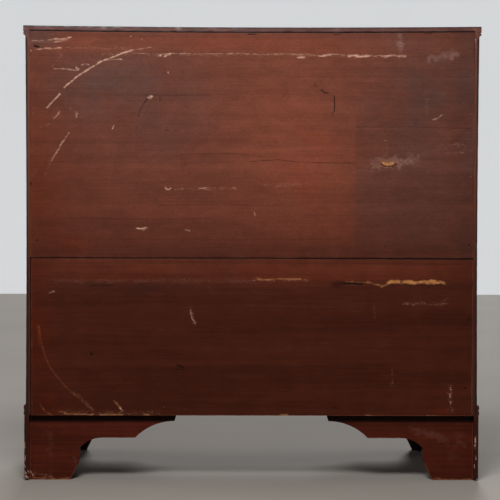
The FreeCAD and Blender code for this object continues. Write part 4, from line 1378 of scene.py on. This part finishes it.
studio = {
    "floor": paint(156, 149, 141),
    "floorSize": 40.0,
    "backdropY": -6.6,
    "backdropHeight": 6.0,
    "backdrop": paint(233, 236, 239),
    "world": (0.95, 0.98, 1.0, 1.0),
    "worldStrength": 0.07,
    "worldSeen": (0.6, 0.61, 0.62, 1.0),  # what the camera sees past the floor
    "keyPlace": (0.25, 2.15, 2.0),
    "keyAim": (0.0, 0.25, 0.6),
    "keySize": 0.9,
    "keyPower": 57.0,
    "frontFrom": (-0.08, -1.0, 0.38),
    "frontPower": 1.75,
    "sideFrom": (-0.2, 0.2),  # y and z of the two far lights at 1 and -1 along x
    "sidePower": 0.6,
    "farSpread": math.radians(14),
    "backdropGlow": 0.64,
    "floorGlow": 0.22,
    "glowRun": (0.75, 1.5),  # the floor's glow grows between these distances from the middle
    "glowOnRest": 0.12,  # the share of the glow that lights other things
    "mottle": (0.3, 0.7, 0.96, 1.04),
    "roughness": 0.85,
    "specular": 0.1,
}
cameraView = {
    "place": (0.037, 4.28, 0.63),
    "down": math.radians(1.986),
    "turn": math.radians(0.46),
    "roll": math.radians(-0.15),
    "lens": 137.4,
    "reach": 60.0,
}


def plainSurface(name, colour, glow, near=0.0, far=0.0):
    # The camera sees the glow in full, and other things get a share of it
    s = Shade(name, specular=studio["specular"])
    s.surface["Emission Color"].default_value = colour
    seen = s.add("ShaderNodeLightPath")["Is Camera Ray"]
    out = s.fade(s.vector("LENGTH", s.place), near, far + 0.01, 0.0, glow)
    share = s.plus(studio["glowOnRest"], s.times(seen, 1 - studio["glowOnRest"]))
    feed(s.tree, s.surface["Emission Strength"], s.times(share, out))
    tone = s.fade(s.noise(1.5, 4.0), *studio["mottle"])
    grey = s.add("ShaderNodeCombineColor", {0: tone, 1: tone, 2: tone})[0]
    return s.finish(s.mix(1.0, colour, grey, kind="MULTIPLY"), studio["roughness"])


def stageSheet(name, corners, material):
    mesh = bpy.data.meshes.new(name)
    mesh.from_pydata(corners, [], [list(range(len(corners)))])
    sheet = addObject(name, mesh)
    mesh.materials.append(material)
    return sheet


half, wallY, wallTop = studio["floorSize"] / 2, studio["backdropY"], studio["backdropHeight"]
floorPaint = plainSurface("floorPaint", studio["floor"], studio["floorGlow"], *studio["glowRun"])
stageSheet("floor", [(-half, wallY, 0), (half, wallY, 0), (half, half, 0), (-half, half, 0)], floorPaint)
wallPaint = plainSurface("backdropPaint", studio["backdrop"], studio["backdropGlow"])
wall = [(-half, wallY, 0), (half, wallY, 0), (half, wallY, wallTop), (-half, wallY, wallTop)]
stageSheet("backdrop", wall, wallPaint).visible_shadow = False

world = bpy.data.worlds.new("studio")
world.use_nodes = True
lit = world.node_tree.nodes["Background"]
lit.inputs[0].default_value = studio["world"]
lit.inputs[1].default_value = studio["worldStrength"]
seen = addNode(world.node_tree, "ShaderNodeBackground", {0: studio["worldSeen"]})[0]
ray = addNode(world.node_tree, "ShaderNodeLightPath")["Is Camera Ray"]
choice = addNode(world.node_tree, "ShaderNodeMixShader", {0: ray, 1: lit.outputs[0], 2: seen})[0]
world.node_tree.links.new(choice, world.node_tree.nodes["World Output"].inputs[0])
bpy.context.scene.world = world


def placeLight(name, kind, place, aim, power):
    lamp = bpy.data.lights.new(name, kind)
    lamp.energy = power
    light = addObject(name, lamp)
    light.location = place
    light.rotation_euler = (Vector(aim) - Vector(place)).to_track_quat("-Z", "Y").to_euler()
    light.visible_camera = False
    return lamp


key = placeLight("keyLight", "AREA", studio["keyPlace"], studio["keyAim"], studio["keyPower"])
key.shape = "DISK"
key.size = studio["keySize"]
front = placeLight("frontLight", "SUN", studio["frontFrom"], (0, 0, 0), studio["frontPower"])
front.angle = studio["farSpread"]
for name, across in (("leftLight", -1), ("rightLight", 1)):
    far = placeLight(name, "SUN", (across, *studio["sideFrom"]), (0, 0, 0), studio["sidePower"])
    far.angle = studio["farSpread"] * 2

camera = addObject("camera", bpy.data.cameras.new("camera"))
camera.data.lens = cameraView["lens"]
camera.data.clip_end = cameraView["reach"]
camera.location = cameraView["place"]
camera.rotation_euler = (math.pi / 2 - cameraView["down"], cameraView["roll"], math.pi - cameraView["turn"])
bpy.context.scene.camera = camera
bpy.context.scene.view_settings.view_transform = "Standard"
print("studio ready")
